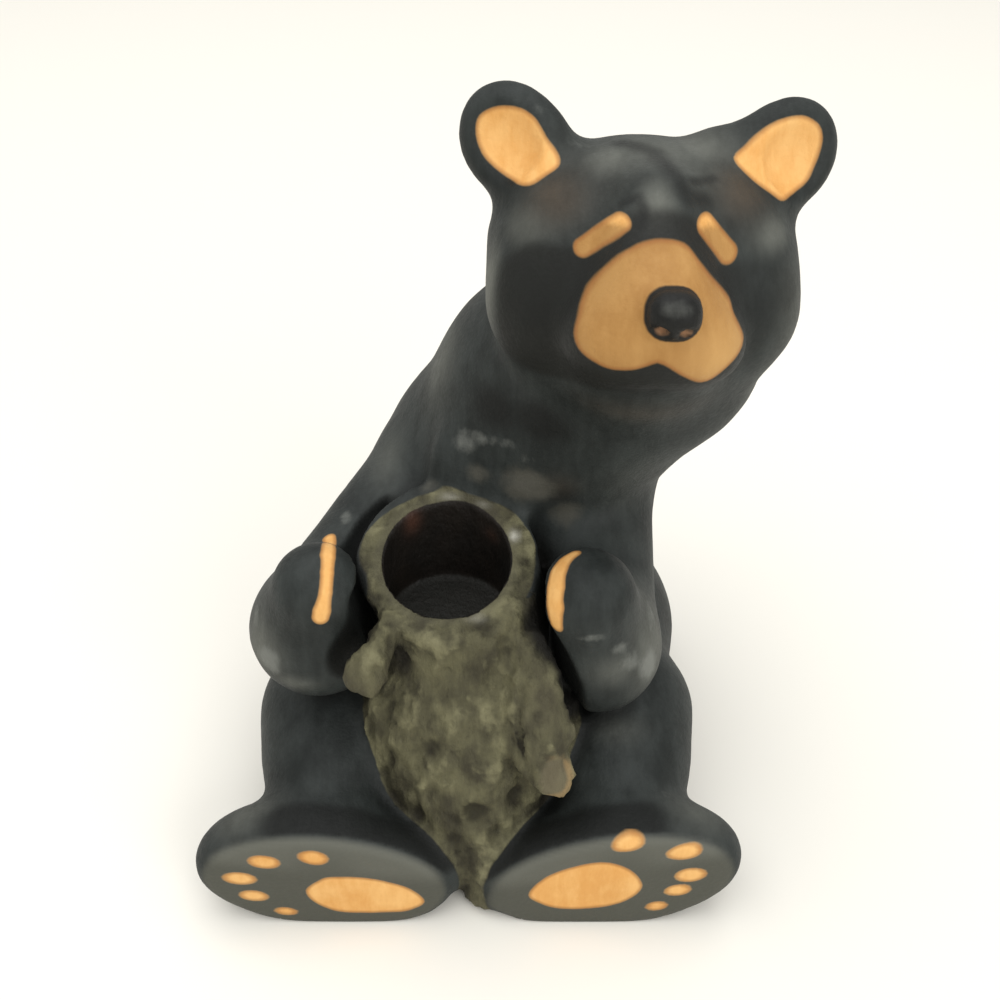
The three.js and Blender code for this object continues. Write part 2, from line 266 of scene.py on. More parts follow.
def stump(points):
    """The stump swells between the legs, ends in a root and opens in a sloping rim."""
    foot = limb(points, (0.2, -2, 8), (0.8, -2, 21), 13, 13.4)
    middle = limb(points, (0.8, -2, 21), (0.2, -0.8, 35), 13.2, 9.4)
    mouth = limb(points, (0.2, -0.8, 35), (BORE_AXIS, 0, RIM_Z + 2), 9.4, RIM_RADIUS)
    trunk = meet(1.5, join(4, foot, middle, mouth), above_rim(points))
    root = limb(points, (-0.2, -6.5, 15.5), (2.4, -17.8, 2.6), 11, 3.2)
    wedge = limb(points, (-9.6, -9, 41), (-11.8, -11.4, 36), 1.6, 2.9)
    left_stub = meet(0.6, wedge, 34.2 - points[:, 2])
    branch = limb(points, (8, -8.2, 37.5), (9.4, -13.4, 28), 2.2, 4.2)
    cut_stub = meet(0.5, limb(points, *CUT_STUB, 3, 2.6), local(points, CUT_FACE) @ CUT_FACES)
    splinter = egg(points, (4.6, 12.2, 50), (9, 3, 7.5), turning(0, 14, 8))
    whole = join(2, trunk, root, left_stub, branch, splinter)
    for line, width in SPLITS:
        for start, end in zip(line, line[1:]):
            whole = carve(0.5, whole, limb(points, start, end, width, width))
    return join(1, whole, cut_stub)


def bear(points):
    seated = join(3, join(6, torso(points), legs(points)), feet(points))
    return join(3, join(3.5, seated, head(points)), arms(points))


def bore(points):
    """The candle bore, up to where the splinter ends behind it."""
    side = np.hypot(points[:, 0] - BORE_AXIS, points[:, 1]) - BORE_RADIUS
    ends = np.maximum(BORE_FLOOR - points[:, 2], points[:, 2] - CANDLE_WAY_TOP / SHARE)
    return meet(BORE_CORNER, side, ends)


def gap(points):
    """The narrow gap where the paws press on the stump."""
    away = stump(points)
    tube = np.hypot(arms(points), away) - GAP
    return np.maximum(np.maximum(tube, 0.1 - away), BEHIND_PAWS - torso(points))


def figure(points):
    whole = join(STUMP_CREASE, bear(points), stump(points))
    whole = carve(RIM_LIP, whole, bore(points))
    whole = carve(GAP_CREASE, whole, gap(points))
    return meet(TABLE_EDGE, whole, -points[:, 2])


# The skin of the casting.
def in_parts(field, points, most=120000):
    """Works through many points a part at a time."""
    parts = np.array_split(points, max(1, len(points) // most))
    return np.concatenate([field(part) for part in parts])


def grid_distances(step, block_size=6):
    """Distances on a fine grid, worked out only near the surface."""
    counts = (np.ceil((BOX_HIGH - BOX_LOW) / step / block_size)).astype(int)
    mid = (block_size - 1) / 2 * step
    axes = [low + mid + np.arange(n) * step * block_size for low, n in zip(BOX_LOW, counts)]
    middles = np.stack(np.meshgrid(*axes, indexing="ij"), -1).reshape(-1, 3)
    coarse = in_parts(figure, middles).reshape(counts)
    values = coarse
    for axis in range(3):
        values = values.repeat(block_size, axis)
    near = np.argwhere(np.abs(values) < 1.25 * step * block_size)
    values[tuple(near.T)] = in_parts(figure, BOX_LOW + near * step)
    return values


FACE_AXES = ((0, 1), (1, 2), (0, 2))


def close_pinches(values):
    """Fills the corners where two hollows or two walls only touch along an edge."""
    for _ in range(12):
        inside = values < 0
        found = 0
        for a, b in FACE_AXES:
            corners = []
            for i in (0, 1):
                for j in (0, 1):
                    part = [slice(None)] * 3
                    part[a] = slice(i, values.shape[a] - 1 + i)
                    part[b] = slice(j, values.shape[b] - 1 + j)
                    corners.append(tuple(part))
            p, q, r, s = (inside[c] for c in corners)
            crossed = (p == s) & (q == r) & (p != q)
            found += crossed.sum()
            for c in corners:
                values[c][crossed & (values[c] >= 0)] = -PINCH_FILL
        if not found:
            return values
    return values


def wrap(values, step):
    """Puts one point in each cell that the surface crosses, and one face over each crossing."""
    inside = values < 0
    shape = np.array(values.shape) - 1
    total = np.zeros((*shape, 3))
    count = np.zeros(shape)

    def corner(c):
        return values[tuple(slice(i, i + n) for i, n in zip(c, shape))]

    for c in np.ndindex(2, 2, 2):
        for axis in range(3):
            if c[axis]:
                continue
            other = list(c)
            other[axis] = 1
            a, b = corner(c), corner(other)
            crosses = (a < 0) != (b < 0)
            share = np.where(crosses, a / np.where(crosses, a - b, 1), 0)
            for i in range(3):
                total[..., i] += np.where(crosses, c[i] + (share if i == axis else 0), 0)
            count += crosses
    used = count > 0
    index = np.full(shape, -1)
    index[used] = np.arange(used.sum())
    points = BOX_LOW + (np.argwhere(used) + total[used] / count[used][:, None]) * step
    faces = []
    for axis in range(3):
        u, v = (axis + 1) % 3, (axis + 2) % 3
        a = inside.take(range(values.shape[axis] - 1), axis)
        b = inside.take(range(1, values.shape[axis]), axis)
        edges = np.argwhere(a != b)
        leaving = a[tuple(edges.T)]
        corners = []
        for du, dv in ((1, 1), (0, 1), (0, 0), (1, 0)):
            cell = edges.copy()
            cell[:, u] -= du
            cell[:, v] -= dv
            corners.append(index[tuple(cell.T)])
        quads = np.stack(corners, 1)
        quads[~leaving] = quads[~leaving][:, ::-1]
        faces.append(quads)
    return points, np.concatenate(faces)


def slopes(points, field, reach=1e-3):
    """The direction in which the distance grows, at each point."""
    out = np.empty_like(points)
    for axis in range(3):
        step = np.zeros(3)
        step[axis] = reach
        out[:, axis] = (in_parts(field, points + step) - in_parts(field, points - step)) / 2
    return out / reach


def settle(points, passes, most):
    """Moves each point straight on to the surface."""
    for _ in range(passes):
        distance = in_parts(figure, points)
        slope = slopes(points, figure)
        move = -distance[:, None] * slope / np.maximum((slope**2).sum(1), 0.05)[:, None]
        length = np.linalg.norm(move, axis=1, keepdims=True)
        points = points + move * np.minimum(1, most / np.maximum(length, 1e-9))
    return points


def even(points, faces, share):
    """Draws each point towards the middle of its neighbours."""
    total = np.zeros_like(points)
    count = np.zeros(len(points))
    for i in range(4):
        a, b = faces[:, i], faces[:, (i + 1) % 4]
        np.add.at(total, a, points[b])
        np.add.at(count, a, 1)
    return points + share * (total / np.maximum(count, 1)[:, None] - points)


def outer_skin(points, faces):
    """Leaves out any small hollow that is closed in below the surface."""
    group = np.arange(len(points))
    while True:
        lowest = group[faces].min(1)
        joined = group.copy()
        np.minimum.at(joined, faces.ravel(), np.repeat(lowest, 4))
        joined = joined[joined]
        if (joined == group).all():
            break
        group = joined
    kept = group == group[points[:, 2].argmax()]
    number = np.cumsum(kept) - 1
    return points[kept], number[faces[kept[faces[:, 0]]]]


def casting_skin():
    """The points and faces of the whole casting, drawn evenly on its surface."""
    points, faces = outer_skin(*wrap(close_pinches(grid_distances(FACET)), FACET))
    for _ in range(2):
        points = settle(even(points, faces, 0.5), 1, FACET / 2)
    return settle(points, 1, FACET / 2), faces


# Where the paint goes. Distances are in shares, and below zero inside.
def soft_step(value, low, high):
    """A soft change from 0 at one value to 1 at the other."""
    share = np.clip((value - low) / (high - low), 0, 1)
    return share * share * (3 - 2 * share)


def rounded(corners, pieces=4):
    """The same outline, drawn soft through its corners."""
    here = np.array(corners, float)
    before, after, beyond = np.roll(here, 1, 0), np.roll(here, -1, 0), np.roll(here, -2, 0)
    curve = []
    for t in np.arange(pieces) / pieces:
        bend = 2 * before - 5 * here + 4 * after - beyond
        turn = 3 * here - before - 3 * after + beyond
        curve.append(here + (after - before) * t / 2 + bend * t**2 / 2 + turn * t**3 / 2)
    return np.stack(curve, 1).reshape(-1, 2)


def outline_distance(across, up, corners):
    """Distance to a closed outline drawn by its corners."""
    corners = rounded(corners)
    place = np.stack([across, up], 1)
    nearest = np.full(len(place), 1e9)
    turns_inside = np.zeros(len(place), bool)
    for a, b in zip(corners, np.roll(corners, -1, axis=0)):
        edge = b - a
        off = place - a
        t = np.clip(off @ edge / (edge @ edge), 0, 1)
        nearest = np.minimum(nearest, np.linalg.norm(off - t[:, None] * edge, axis=1))
        spans = (a[1] > up) != (b[1] > up)
        rise = edge[1] if abs(edge[1]) > 1e-9 else 1e-9
        turns_inside ^= spans & (across < a[0] + (up - a[1]) * edge[0] / rise)
    return np.where(turns_inside, -nearest, nearest)


# Outlines of the painted patches, seen straight on, across and up.
MUZZLE_PATCH = (
    (-0.3, 6.1), (2.2, 5.7), (3.6, 4.3), (5.5, 2.2), (7.4, 0.3), (7.8, -1.2), (9, -3.3),
    (8.7, -4.7), (7.2, -6.2), (5.7, -7.6), (4.3, -7.9), (2.2, -6.8), (0.6, -5.7), (-0.5, -5.3),
    (-1.5, -5.8), (-3, -6.4), (-5, -6.6), (-6.8, -6), (-8.2, -5.1), (-8.8, -3.6), (-8.3, -1.5),
    (-7.7, 0.2), (-6.4, 2.1), (-4.6, 4.1), (-2.6, 5.5),
)
MASK_PATCH = (
    (-2.8, 8.2), (-5.8, 4.2), (-9.4, 3.6), (-12.4, 3.8), (-15, 2.6), (-16.4, 0.6), (-16.8, -2),
    (-16.6, -6), (-15.2, -9.6), (-11.5, -11), (-5, -10.4), (2, -9.6), (8, -10), (12, -8), (15, -3),
    (17.5, 0), (14.5, 2.6), (9.6, 3.2), (6.4, 3.4), (3.4, 7.8),
)
LEFT_EAR_PATCH = (
    (1.9, 3), (0.5, 4), (-1.6, 3.6), (-3.5, 2.2), (-4.5, 0.3), (-4.6, -2.2), (-4.7, -4.7),
    (-4.2, -5.7), (-2.5, -5.8), (-0.6, -5.7), (0.8, -4.6), (2.4, -2), (2.8, 0.6),
)
RIGHT_EAR_PATCH = (
    (-6.5, -4.9), (-6.2, -3.1), (-5.7, -0.7), (-4.8, 1.6), (-3, 3.6), (-0.8, 4.3), (1.1, 3.4),
    (2.3, 1.1), (2.7, -1.6), (1, -4.7), (-1.2, -5.3), (-4.6, -5.5),
)
LEFT_PAD = (
    (2.3, -0.6), (1, 1.4), (-0.8, 2.6), (-5.3, 2.5), (-9.9, 1.6), (-12.4, 0), (-13.1, -1.6),
    (-11.3, -3.2), (-9, -3.9), (-3.7, -4.6), (-1.1, -4.3), (1.4, -2.7),
)
RIGHT_PAD = (
    (-11, 0.8), (-8.9, 3.2), (-6, 4.6), (-0.7, 5.3), (2.4, 3.7), (3.7, 1.1), (3.4, -1),
    (0.5, -3.2), (-3.5, -3.5), (-7.4, -2.7), (-9.8, -1.2),
)

# Toes: across, up, half the width and half the height of each.
LEFT_TOES = (
    (1.7, 5.8, 2, 1.15), (7.9, 4, 2.1, 1.2), (11, 0.4, 2.2, 1.15), (9.1, -2.8, 1.9, 1),
    (4.8, -5.4, 1.5, 0.75),
)
RIGHT_TOES = (
    (3.2, 7.7, 2.1, 1.1), (10, 4.8, 2.3, 1.3), (10.2, 0.3, 2.1, 1.3), (8.2, -2.3, 1.8, 1.05),
    (5, -4.9, 1.5, 0.85),
)

# Brush strokes: the places along each, with half its width there. The brows follow the head's axes.
LEFT_BROW = ((-7.9, 0, 4, 0.95), (-4.1, 0, 7.1, 0.9))
RIGHT_BROW = ((5, 0, 7, 1.1), (7.7, 0, 4.1, 1.2))
LEFT_PAW_STROKE = (
    (-16.5, -1, 48.5, 0.85), (-16.3, -4.2, 48.9, 0.85), (-16.2, -6.5, 48.3, 0.72),
    (-16.3, -8.4, 46.8, 0.72), (-16.8, -9.6, 44.7, 1), (-17, -9.8, 43.9, 1),
)
LEFT_ARM_STROKE = ((-17.6, 5.2, 43.8, 0.85), (-17.2, 3, 44.8, 0.85))
RIGHT_PAW_STROKE = (
    (13.5, -3.4, 48.6, 0.8), (12.3, -4.3, 48.3, 1.05), (11.5, -5.6, 47.8, 1.25), (11.1, -7.5, 46.7, 1.35),
    (11, -8.9, 45, 1.35), (11.2, -9.8, 42.7, 1),
)

# How far the painter's marks reach.
UNPAINTED = 9.0
BRUSH_FALLOFF = 1.6
FACE_FRONT = -6
MUZZLE_FRONT = -9
MUZZLE_HALF = 11
SHOULDERS = 55
FEET_TOP = 19
SOLE_TOP = 20
HOLLOW_REACH = 2.2
RAISED_REACH = 1.6
BARK_EDGE = 1.6
BARK_SHORT = 0.6
BARK_SHORT_BEHIND = 1.5
GAP_SHADE = 2.6
NOSE_PAINT_OVER = 0.4


def toes(across, up, spots):
    """Distance to the nearest of five painted toes."""
    parts = []
    for x, z, wide, tall in spots:
        near = np.hypot((across - x) / wide, (up - z) / tall)
        parts.append((near - 1) * min(wide, tall))
    return np.minimum.reduce(parts)


def golden_patches(points):
    """Distance to the golden paint on the muzzle, ears and soles."""
    q = local(points, HEAD_AT, HEAD_TURN)
    s = mirrored(q)
    patches = [np.where(q[:, 1] < FACE_FRONT, outline_distance(q[:, 0], q[:, 2], MUZZLE_PATCH), UNPAINTED)]
    for side, place, patch in ((-1, LEFT_EAR, LEFT_EAR_PATCH), (1, RIGHT_EAR, RIGHT_EAR_PATCH)):
        e = local(s, place[0], EAR_TURN)
        shown = (q[:, 0] * side > 0) & (e[:, 1] < -0.6) & (q[:, 2] > 4)
        patches.append(np.where(shown, outline_distance(e[:, 0], e[:, 2], patch), UNPAINTED))
    f = along_feet(points)
    for side, pad, spots in ((-1, LEFT_PAD, LEFT_TOES), (1, RIGHT_PAD, RIGHT_TOES)):
        shown = ((points[:, 0] - FEET_X) * side > 0) & (f[:, 1] < -1.8) & (points[:, 2] < SOLE_TOP)
        sole = np.minimum(outline_distance(f[:, 0], f[:, 2], pad), toes(f[:, 0], f[:, 2], spots))
        patches.append(np.where(shown, sole, UNPAINTED))
    return np.minimum.reduce(patches)


def blobs(points, places):
    """Soft touches of the brush: each has a middle, three radii and a strength."""
    total = np.zeros(len(points))
    for centre, radii, strength in places:
        near = np.linalg.norm((points - np.array(centre, float)) / np.array(radii, float), axis=1)
        total = np.maximum(total, strength * np.exp(-(near**2) * BRUSH_FALLOFF))
    return total


def on_head(x, y, z):
    """A place given along the head's own axes."""
    return tuple(np.array((x, y, z)) @ HEAD_TURN.T + np.array(HEAD_AT))


def along(points, lines):
    """Thin brush lines: each has its places and a width."""
    total = np.zeros(len(points))
    for line, width in lines:
        away = np.minimum.reduce([limb(points, a, b, 0, 0) for a, b in zip(line, line[1:])])
        total = np.maximum(total, np.exp(-((away / width) ** 2)))
    return total


# Touches of the brush: the middle, the three radii and the strength of each.
# Dry-brushed grey on the head, chest, arms, knees and feet, which is also painted highlight where light
# falls on them.
PALE_AND_HIGHLIGHT_TOUCHES = (
    (on_head(-7, -3, 13.5), (5.5, 6, 3.4), 0.45),
    (on_head(5, -1, 14.2), (4.6, 6, 2.6), 0.45),
    (on_head(-14.8, -6.5, 5), (4, 4, 3), 0.4),
    (on_head(-17.6, -4.5, -1.5), (2, 4, 6), 0.4),
    (on_head(13.2, -7.8, 5.2), (4, 4, 2), 0.4),
    (on_head(-12, 0, 17), (5, 4, 4), 0.3),
    ((-0.4, 10.2, 55.4), (3.4, 4, 2.6), 0.75),
    ((2, 9.4, 56.6), (4, 4, 2), 0.62),
    ((5, 7.9, 57.4), (3.8, 4, 2.2), 0.62),
    ((8.8, 7, 55.6), (4.4, 4, 2.6), 0.5),
    ((-24.6, -8, 35), (3.4, 4.4, 3.4), 0.95),
    ((-26.4, -4, 39), (1.8, 4, 3.4), 0.6),
    ((-20.5, -10, 32.5), (3, 3, 1.6), 0.5),
    ((23.4, -8, 33.4), (2.4, 4.6, 4), 1),
    ((23.8, -4, 39), (1.6, 4, 4), 0.8),
    ((15.6, -11.4, 41.8), (3.8, 3, 1.4), 0.68),
    ((19.4, -10.4, 39), (3, 3, 1.8), 0.68),
    ((20.4, -9, 36), (3.6, 3, 3), 0.62),
    ((14, -11.6, 33.6), (3.4, 3, 1.4), 0.4),
    ((-15.8, 8.4, 44.8), (1.8, 2.4, 1.4), 0.7),
    ((19.6, -7, 21), (3.6, 3, 1.6), 0.45),
    ((20, -9.8, 38.2), (2.4, 3, 1.2), 0.5),
    ((18, -11, 37), (3, 3, 1), 0.4),
    ((25.5, -14, 15.6), (4, 3, 1.4), 0.6),
    ((-26, -14, 14.8), (4, 3, 1.4), 0.45),
    ((-30, -10, 11), (3, 8, 4), 0.35),
    ((32, -10, 11), (3, 8, 4), 0.35),
    ((-4, 21, 60), (3, 6, 6), 0.5),
    ((-10.5, 19, 48), (3, 6, 6), 0.35),
    ((36, 14, 60), (3, 8, 8), 0.4),
)
# A painted highlight along the ridge of the muzzle.
RIDGE_HIGHLIGHT_LINES = (((on_head(-0.4, -12.4, 10), on_head(-0.5, -14, 8.4), on_head(-0.9, -15.8, 6.8)), 1),)
# A soft grey over the coat, which is also painted sheen on the top of the head, the brows, the forearms and
# the feet.
HAZE_AND_SHEEN_TOUCHES = (
    (on_head(0, -3.6, 13), (10.5, 8, 4.4), 0.62),
    (on_head(-5, -4.6, 12.8), (4.4, 5, 2.4), 0.85),
    (on_head(5.4, -1, 14), (5, 6, 2.2), 0.75),
    (on_head(-0.4, -13.2, 8.8), (2.5, 5, 4), 0.95),
    (on_head(-14.4, -6.7, 5.4), (4.4, 4, 2.6), 0.75),
    (on_head(-18, -4.5, -1.5), (1.9, 5, 8), 1),
    (on_head(13.4, -7, 5.6), (4.6, 4, 2.2), 0.8),
    (on_head(16.4, -6, -3), (3.6, 6, 7), 0.5),
    ((-25.8, -6.8, 35.8), (4, 6, 5.6), 1),
    ((-22, -9.4, 32.2), (4, 4, 2), 0.7),
    ((24.2, -6, 35.4), (4.8, 7, 7), 1),
    ((19.6, -10.4, 35.4), (4.6, 4, 3.4), 0.6),
    ((25, -2, 41), (2.4, 4, 4), 0.6),
    ((-3.2, 20.9, 61.1), (3, 6, 9), 0.6),
    ((-11, 17.5, 48), (3, 6, 6), 0.4),
    ((20, -7, 21), (4.4, 3, 1.8), 0.35),
    ((-29, -16.5, 15), (6, 4, 2.4), 0.7),
    ((30, -16.5, 15.4), (6, 4, 2.4), 0.5),
    ((21, 5, 50), (6, 5, 8), 0.18),
    ((36, 12, 64), (4, 8, 9), 0.4),
    ((-14, 26, 38), (6, 6, 14), 0.25),
)
# Painted shade under the chin, on the neck, between the arms and the body, and on the thighs beside the
# stump.
PAINTED_SHADE_TOUCHES = (
    (on_head(-12, -9, -4), (4, 6, 5), 0.5),
    (on_head(0, -16, -10), (8, 5, 3), 0.6),
    (on_head(8, -3, 8), (2.5, 5, 2.5), 0.35),
    ((9.4, 5.5, 62), (6.5, 5, 4), 1.1),
    ((3.5, 9, 61.4), (6, 5, 4), 1),
    ((12, 6.5, 50), (6, 4, 5), 0.6),
    ((-8, -2, 22), (3.5, 8, 12), 0.8),
    ((-16, -4, 28), (6, 6, 4), 0.75),
    ((14.5, -4, 20), (4, 8, 9), 0.85),
    ((19, -5, 27), (6, 6, 3), 0.8),
    ((-22, -3, 41), (4, 5, 4), 0.3),
    ((18, -5, 45), (3.5, 4, 3.4), 0.4),
    ((-13, 4, 42), (2.5, 6, 6), 0.75),
    ((12.5, 3, 45), (2, 4, 3), 0.8),
)
# Painted shade in the grooves on the brow and beside the top of the muzzle.
GROOVE_SHADE_LINES = (
    (
        (
            on_head(-3.8, -11.3, 8.6), on_head(-2.5, -12.2, 9.7), on_head(-1.9, -13.4, 8.7),
            on_head(-2.1, -15, 7.2),
        ),
        0.9,
    ),
    (
        (
            on_head(-3.4, -1, 14.3), on_head(-0.1, -3.8, 13.6), on_head(1.3, -9, 12.1),
            on_head(2.9, -11.6, 9.8),
        ),
        1.9,
    ),
    ((on_head(2.9, -11.6, 9.8), on_head(5, -9.6, 9.2)), 1.7),
    ((on_head(3.6, -9, 11), on_head(6.5, -6.5, 11.5)), 1),
)
BROWN_TOUCHES = (
    (on_head(-10.6, -6.5, 8.6), (4.4, 5, 3), 1),
    (on_head(9.4, -6.1, 9.6), (4, 5, 3), 1),
    (on_head(0, -12, -14), (9, 6, 3), 0.4),
    ((12, 6, 51.5), (3, 4, 3), 0.5),
)
BARK_TOUCHES = (
    ((8.4, 7, 51.4), (5.6, 4.4, 4.6), 1.1),
    ((12.8, 7, 46.6), (4, 4.4, 4), 0.85),
    ((2, 9, 51.6), (4, 3.4, 2.6), 0.75),
    ((-5, 10, 48.6), (4, 3.4, 1.8), 0.6),
)
SHADE_TOUCHES = (
    ((9.4, -7.2, 42.6), (1.5, 4, 4), 1),
    ((9.4, -9.8, 39), (1.3, 3, 2.8), 0.9),
    ((-13.6, -9, 40.6), (1, 3, 3), 0.8),
)
# A painted reddish-brown highlight high on the bore's wall, and a faint one beside it.
BORE_HIGHLIGHT_TOUCHES = (((-6.8, 6.4, 45.6), (1.4, 1.6, 2.2), 1), ((3.6, 5.8, 44), (1.4, 1.4, 1.2), 0.3))
WOOD_TOUCHES = (
    ((-12.8, -11.6, 36), (3.2, 4, 3.4), 0.75),
    ((9.6, -13, 32), (2.8, 4, 5), 0.7),
    ((10, -16, 27.4), (2.4, 3, 2.4), 0.4),
)
# Painted highlight on the lower right and the top of the muzzle.
MUZZLE_HIGHLIGHTS = (
    ((5, -17, -4.6), (5.4, 8, 4), 1),
    ((-4.6, -17, -4.8), (3.6, 7, 2.4), 0.5),
    ((1, -15, 3.6), (2.4, 5, 2), 0.4),
)
# Painted highlight on the top of the nose.
NOSE_HIGHLIGHTS = (((0.7, -25.2, 0.6), (2.6, 2.2, 1.5), 0.85),)
NOSTRIL_TOUCH = (1.1, 1.8, 0.85)
GLINTS = (
    ((6.3, 3.1, 46), (0.7, 1, 0.6), 0.9),
    ((1.6, -8, 42.6), (1.4, 0.7, 0.6), 0.3),
    ((-2, 8.6, 48), (1.6, 0.8, 0.5), 0.3),
    ((2.4, 7.6, 47.6), (1.2, 0.8, 0.5), 0.25),
)
KNOTS = (
    ((1, -17.5, 16.7), (2.4, 3, 2), 0.72),
    ((-4.1, -14.5, 25.9), (2.5, 3, 2), 0.62),
    ((-6.4, -15.8, 14), (1.9, 3, 2.2), 0.5),
    ((6.9, -15.6, 17.8), (1.7, 3, 1.8), 0.5),
    ((5.4, -14.8, 11), (1.4, 3, 1.8), 0.35),
    ((-9.8, -10, 20), (1.6, 3, 2.4), 0.4),
    ((2.2, -15, 21.4), (2, 3, 0.9), 0.4),
    ((-9.4, -9, 27), (1.2, 3, 2.6), 0.4),
    ((10.4, -12.4, 22), (1.6, 3, 1.6), 0.4),
)


def bark_cover(points, bear_away, stump_away):
    """Where the stump shows its bark, which ends a little way behind the bore."""
    from_bore = np.hypot(points[:, 0] - BORE_AXIS, points[:, 1])
    reach = RIM_RADIUS - BARK_SHORT - BARK_SHORT_BEHIND * soft_step(points[:, 1], 3, 9)
    on_rim = soft_step(from_bore - reach, 0.8, -0.8) * soft_step(above_rim(points), 1.6, 0.5)
    nearer = np.clip(0.5 + (bear_away - stump_away) / BARK_EDGE, 0, 1)
    return nearer * np.where(points[:, 2] > RIM_Z - 2, on_rim, 1)


def face_marks(points):
    """The dark mask, the muzzle with its painted highlight, and the nose with its painted highlight and its
    nostrils.
    """
    q = local(points, HEAD_AT, HEAD_TURN)
    on_face = (q[:, 1] < 1) * soft_step(outline_distance(q[:, 0], q[:, 2], MASK_PATCH), 1.3, -0.9)
    on_muzzle = (q[:, 1] < MUZZLE_FRONT) * (np.abs(q[:, 0]) < MUZZLE_HALF) * (points[:, 2] > SHOULDERS)
    nose_away = block(q, NOSE_AT, NOSE_HALF, NOSE_ROUNDING) * SHARE
    return {
        "behind_face": soft_step(q[:, 1], FACE_FRONT, FACE_FRONT + 2),
        "mask": on_face * (1 - 0.6 * soft_step(q[:, 0], 5, 12)),
        "muzzle": on_muzzle * soft_step(q[:, 2], 7.2, 6.4),
        "muzzle_highlight": blobs(q, MUZZLE_HIGHLIGHTS),
        "nose_edge": np.clip(nose_away - NOSE_PAINT_OVER, -4, 9),
        "nose_highlight": blobs(q, NOSE_HIGHLIGHTS),
        "nostril": blobs(q, [(place, NOSTRIL_TOUCH, 1) for place in NOSTRILS]),
    }


def foot_marks(points):
    """The grey soles, a painted highlight along the ridge over each, and painted shade on the tops of the
    feet behind it.
    """
    q = along_feet(points)
    on_foot = (points[:, 2] < FEET_TOP) * soft_step(in_parts(feet, points), 1.6, 0.6)
    upper_side = on_foot * soft_step(q[:, 2], 1.5, 4.5)
    ridge = np.exp(-(((q[:, 1] + 3.3) / 0.5) ** 2))
    behind_ridge = soft_step(q[:, 1], -3, -2.2) * soft_step(q[:, 1], 4, 0) * soft_step(q[:, 0], 11, 6)
    return {
        "sole": on_foot * soft_step(q[:, 1], -2.8, -3.4),
        "sole_ridge_highlight": upper_side * ridge,
        "foot_top_shade": upper_side * behind_ridge,
    }


def cut_marks(points):
    """The right stub's cut end, with a painted golden highlight on its right and lower sides."""
    across = local(points, CUT_FACE)
    off = across @ CUT_FACES
    radius = np.linalg.norm(across - off[:, None] * CUT_FACES, axis=1)
    plain_side = soft_step(across[:, 0] - across[:, 2], 1.4, -1.2)
    return {
        "cut": 0.85 * soft_step(np.abs(off), 0.55, 0.2) * soft_step(radius, 3.2, 2.7),
        "cut_highlight_ring": np.clip(radius - 1.1 * plain_side, 0, 4),
    }


def painters_marks(points):
    """How much of each paint every point of the casting takes."""
    slope = slopes(points, figure)
    outward = slope / np.maximum(np.linalg.norm(slope, axis=1, keepdims=True), 1e-6)
    hollow = 1 - in_parts(figure, points + outward * HOLLOW_REACH) / HOLLOW_REACH
    raised = 1 + in_parts(figure, points - outward * RAISED_REACH) / RAISED_REACH
    bear_away = in_parts(bear, points)
    stump_away = in_parts(stump, points)
    paw_gap_shade = np.exp(-((np.hypot(in_parts(arms, points), stump_away) / GAP_SHADE) ** 2))
    marks = {
        "stump": bark_cover(points, bear_away, stump_away),
        # How far each place lies in a hollow, where the paint lays painted shade.
        "hollow": np.clip(hollow, 0, 1.5),
        "raised": np.clip(raised, 0, 1.5),
        "golden_edge": np.clip(golden_patches(points) * SHARE, -9, 9),
        "bore_edge": np.clip(bore(points) * SHARE, -4, 9),
        "bore_depth": np.clip((RIM_Z - points[:, 2]) * SHARE, -20, 30),
        # Dry-brushed grey that is partly painted highlight, and a soft grey that is partly painted sheen.
        "pale": np.maximum(blobs(points, PALE_AND_HIGHLIGHT_TOUCHES), 0.45 * along(points, RIDGE_HIGHLIGHT_LINES)),
        "haze_and_sheen": blobs(points, HAZE_AND_SHEEN_TOUCHES),
        # Painted shade under the head, between the limbs and in the grooves of the brow.
        "dark": np.maximum(blobs(points, PAINTED_SHADE_TOUCHES), 0.72 * along(points, GROOVE_SHADE_LINES)),
        "brown": blobs(points, BROWN_TOUCHES),
        "grey_bark": blobs(points, BARK_TOUCHES),
        "wood": blobs(points, WOOD_TOUCHES),
        # Painted shade where the paws press on the stump and beside its waist.
        "gap": np.maximum(paw_gap_shade * soft_step(points[:, 2], 44.5, 40), blobs(points, SHADE_TOUCHES)),
        "split": along(points, SPLITS),
        "bore_highlight": blobs(points, BORE_HIGHLIGHT_TOUCHES),
        "knot": blobs(points, KNOTS),
        "glint": blobs(points, GLINTS),
    }
    for more in (face_marks, foot_marks, cut_marks):
        marks.update(more(points))
    # The painted shade on the tops of the feet joins the other painted shade.
    marks["dark"] = np.maximum(marks["dark"], marks.pop("foot_top_shade"))
    return marks


def mesh_from(name, points, faces, marks):
    """A mesh in metres that carries the painter's marks."""
    mesh = bpy.data.meshes.new(name)
    placed = (points * SHARE - MIDDLE) / MILLIMETRES
    mesh.from_pydata(placed.tolist(), [], faces.tolist())
    for key, amounts in marks.items():
        mark = mesh.attributes.new(key, "FLOAT", "POINT")
        mark.data.foreach_set("value", amounts.astype(np.float32))
    mesh.shade_smooth()
    return mesh


# Small helpers that place and wire nodes.
def put(tree, kind, **settings):
    node = tree.nodes.new(kind)
    for key, value in settings.items():
        setattr(node, key, value)
    return node


def feed(tree, socket, value):
    """Sets a number or colour on a socket, or wires another socket to it."""
    if isinstance(value, bpy.types.NodeSocket):
        tree.links.new(value, socket)
    elif value is not None:
        socket.default_value = value


def math_of(tree, operation, a, b=None, c=None, clamp=False):
    node = put(tree, "ShaderNodeMath", operation=operation, use_clamp=clamp)
    for socket, value in zip(node.inputs, (a, b, c)):
        feed(tree, socket, value)
    return node.outputs[0]


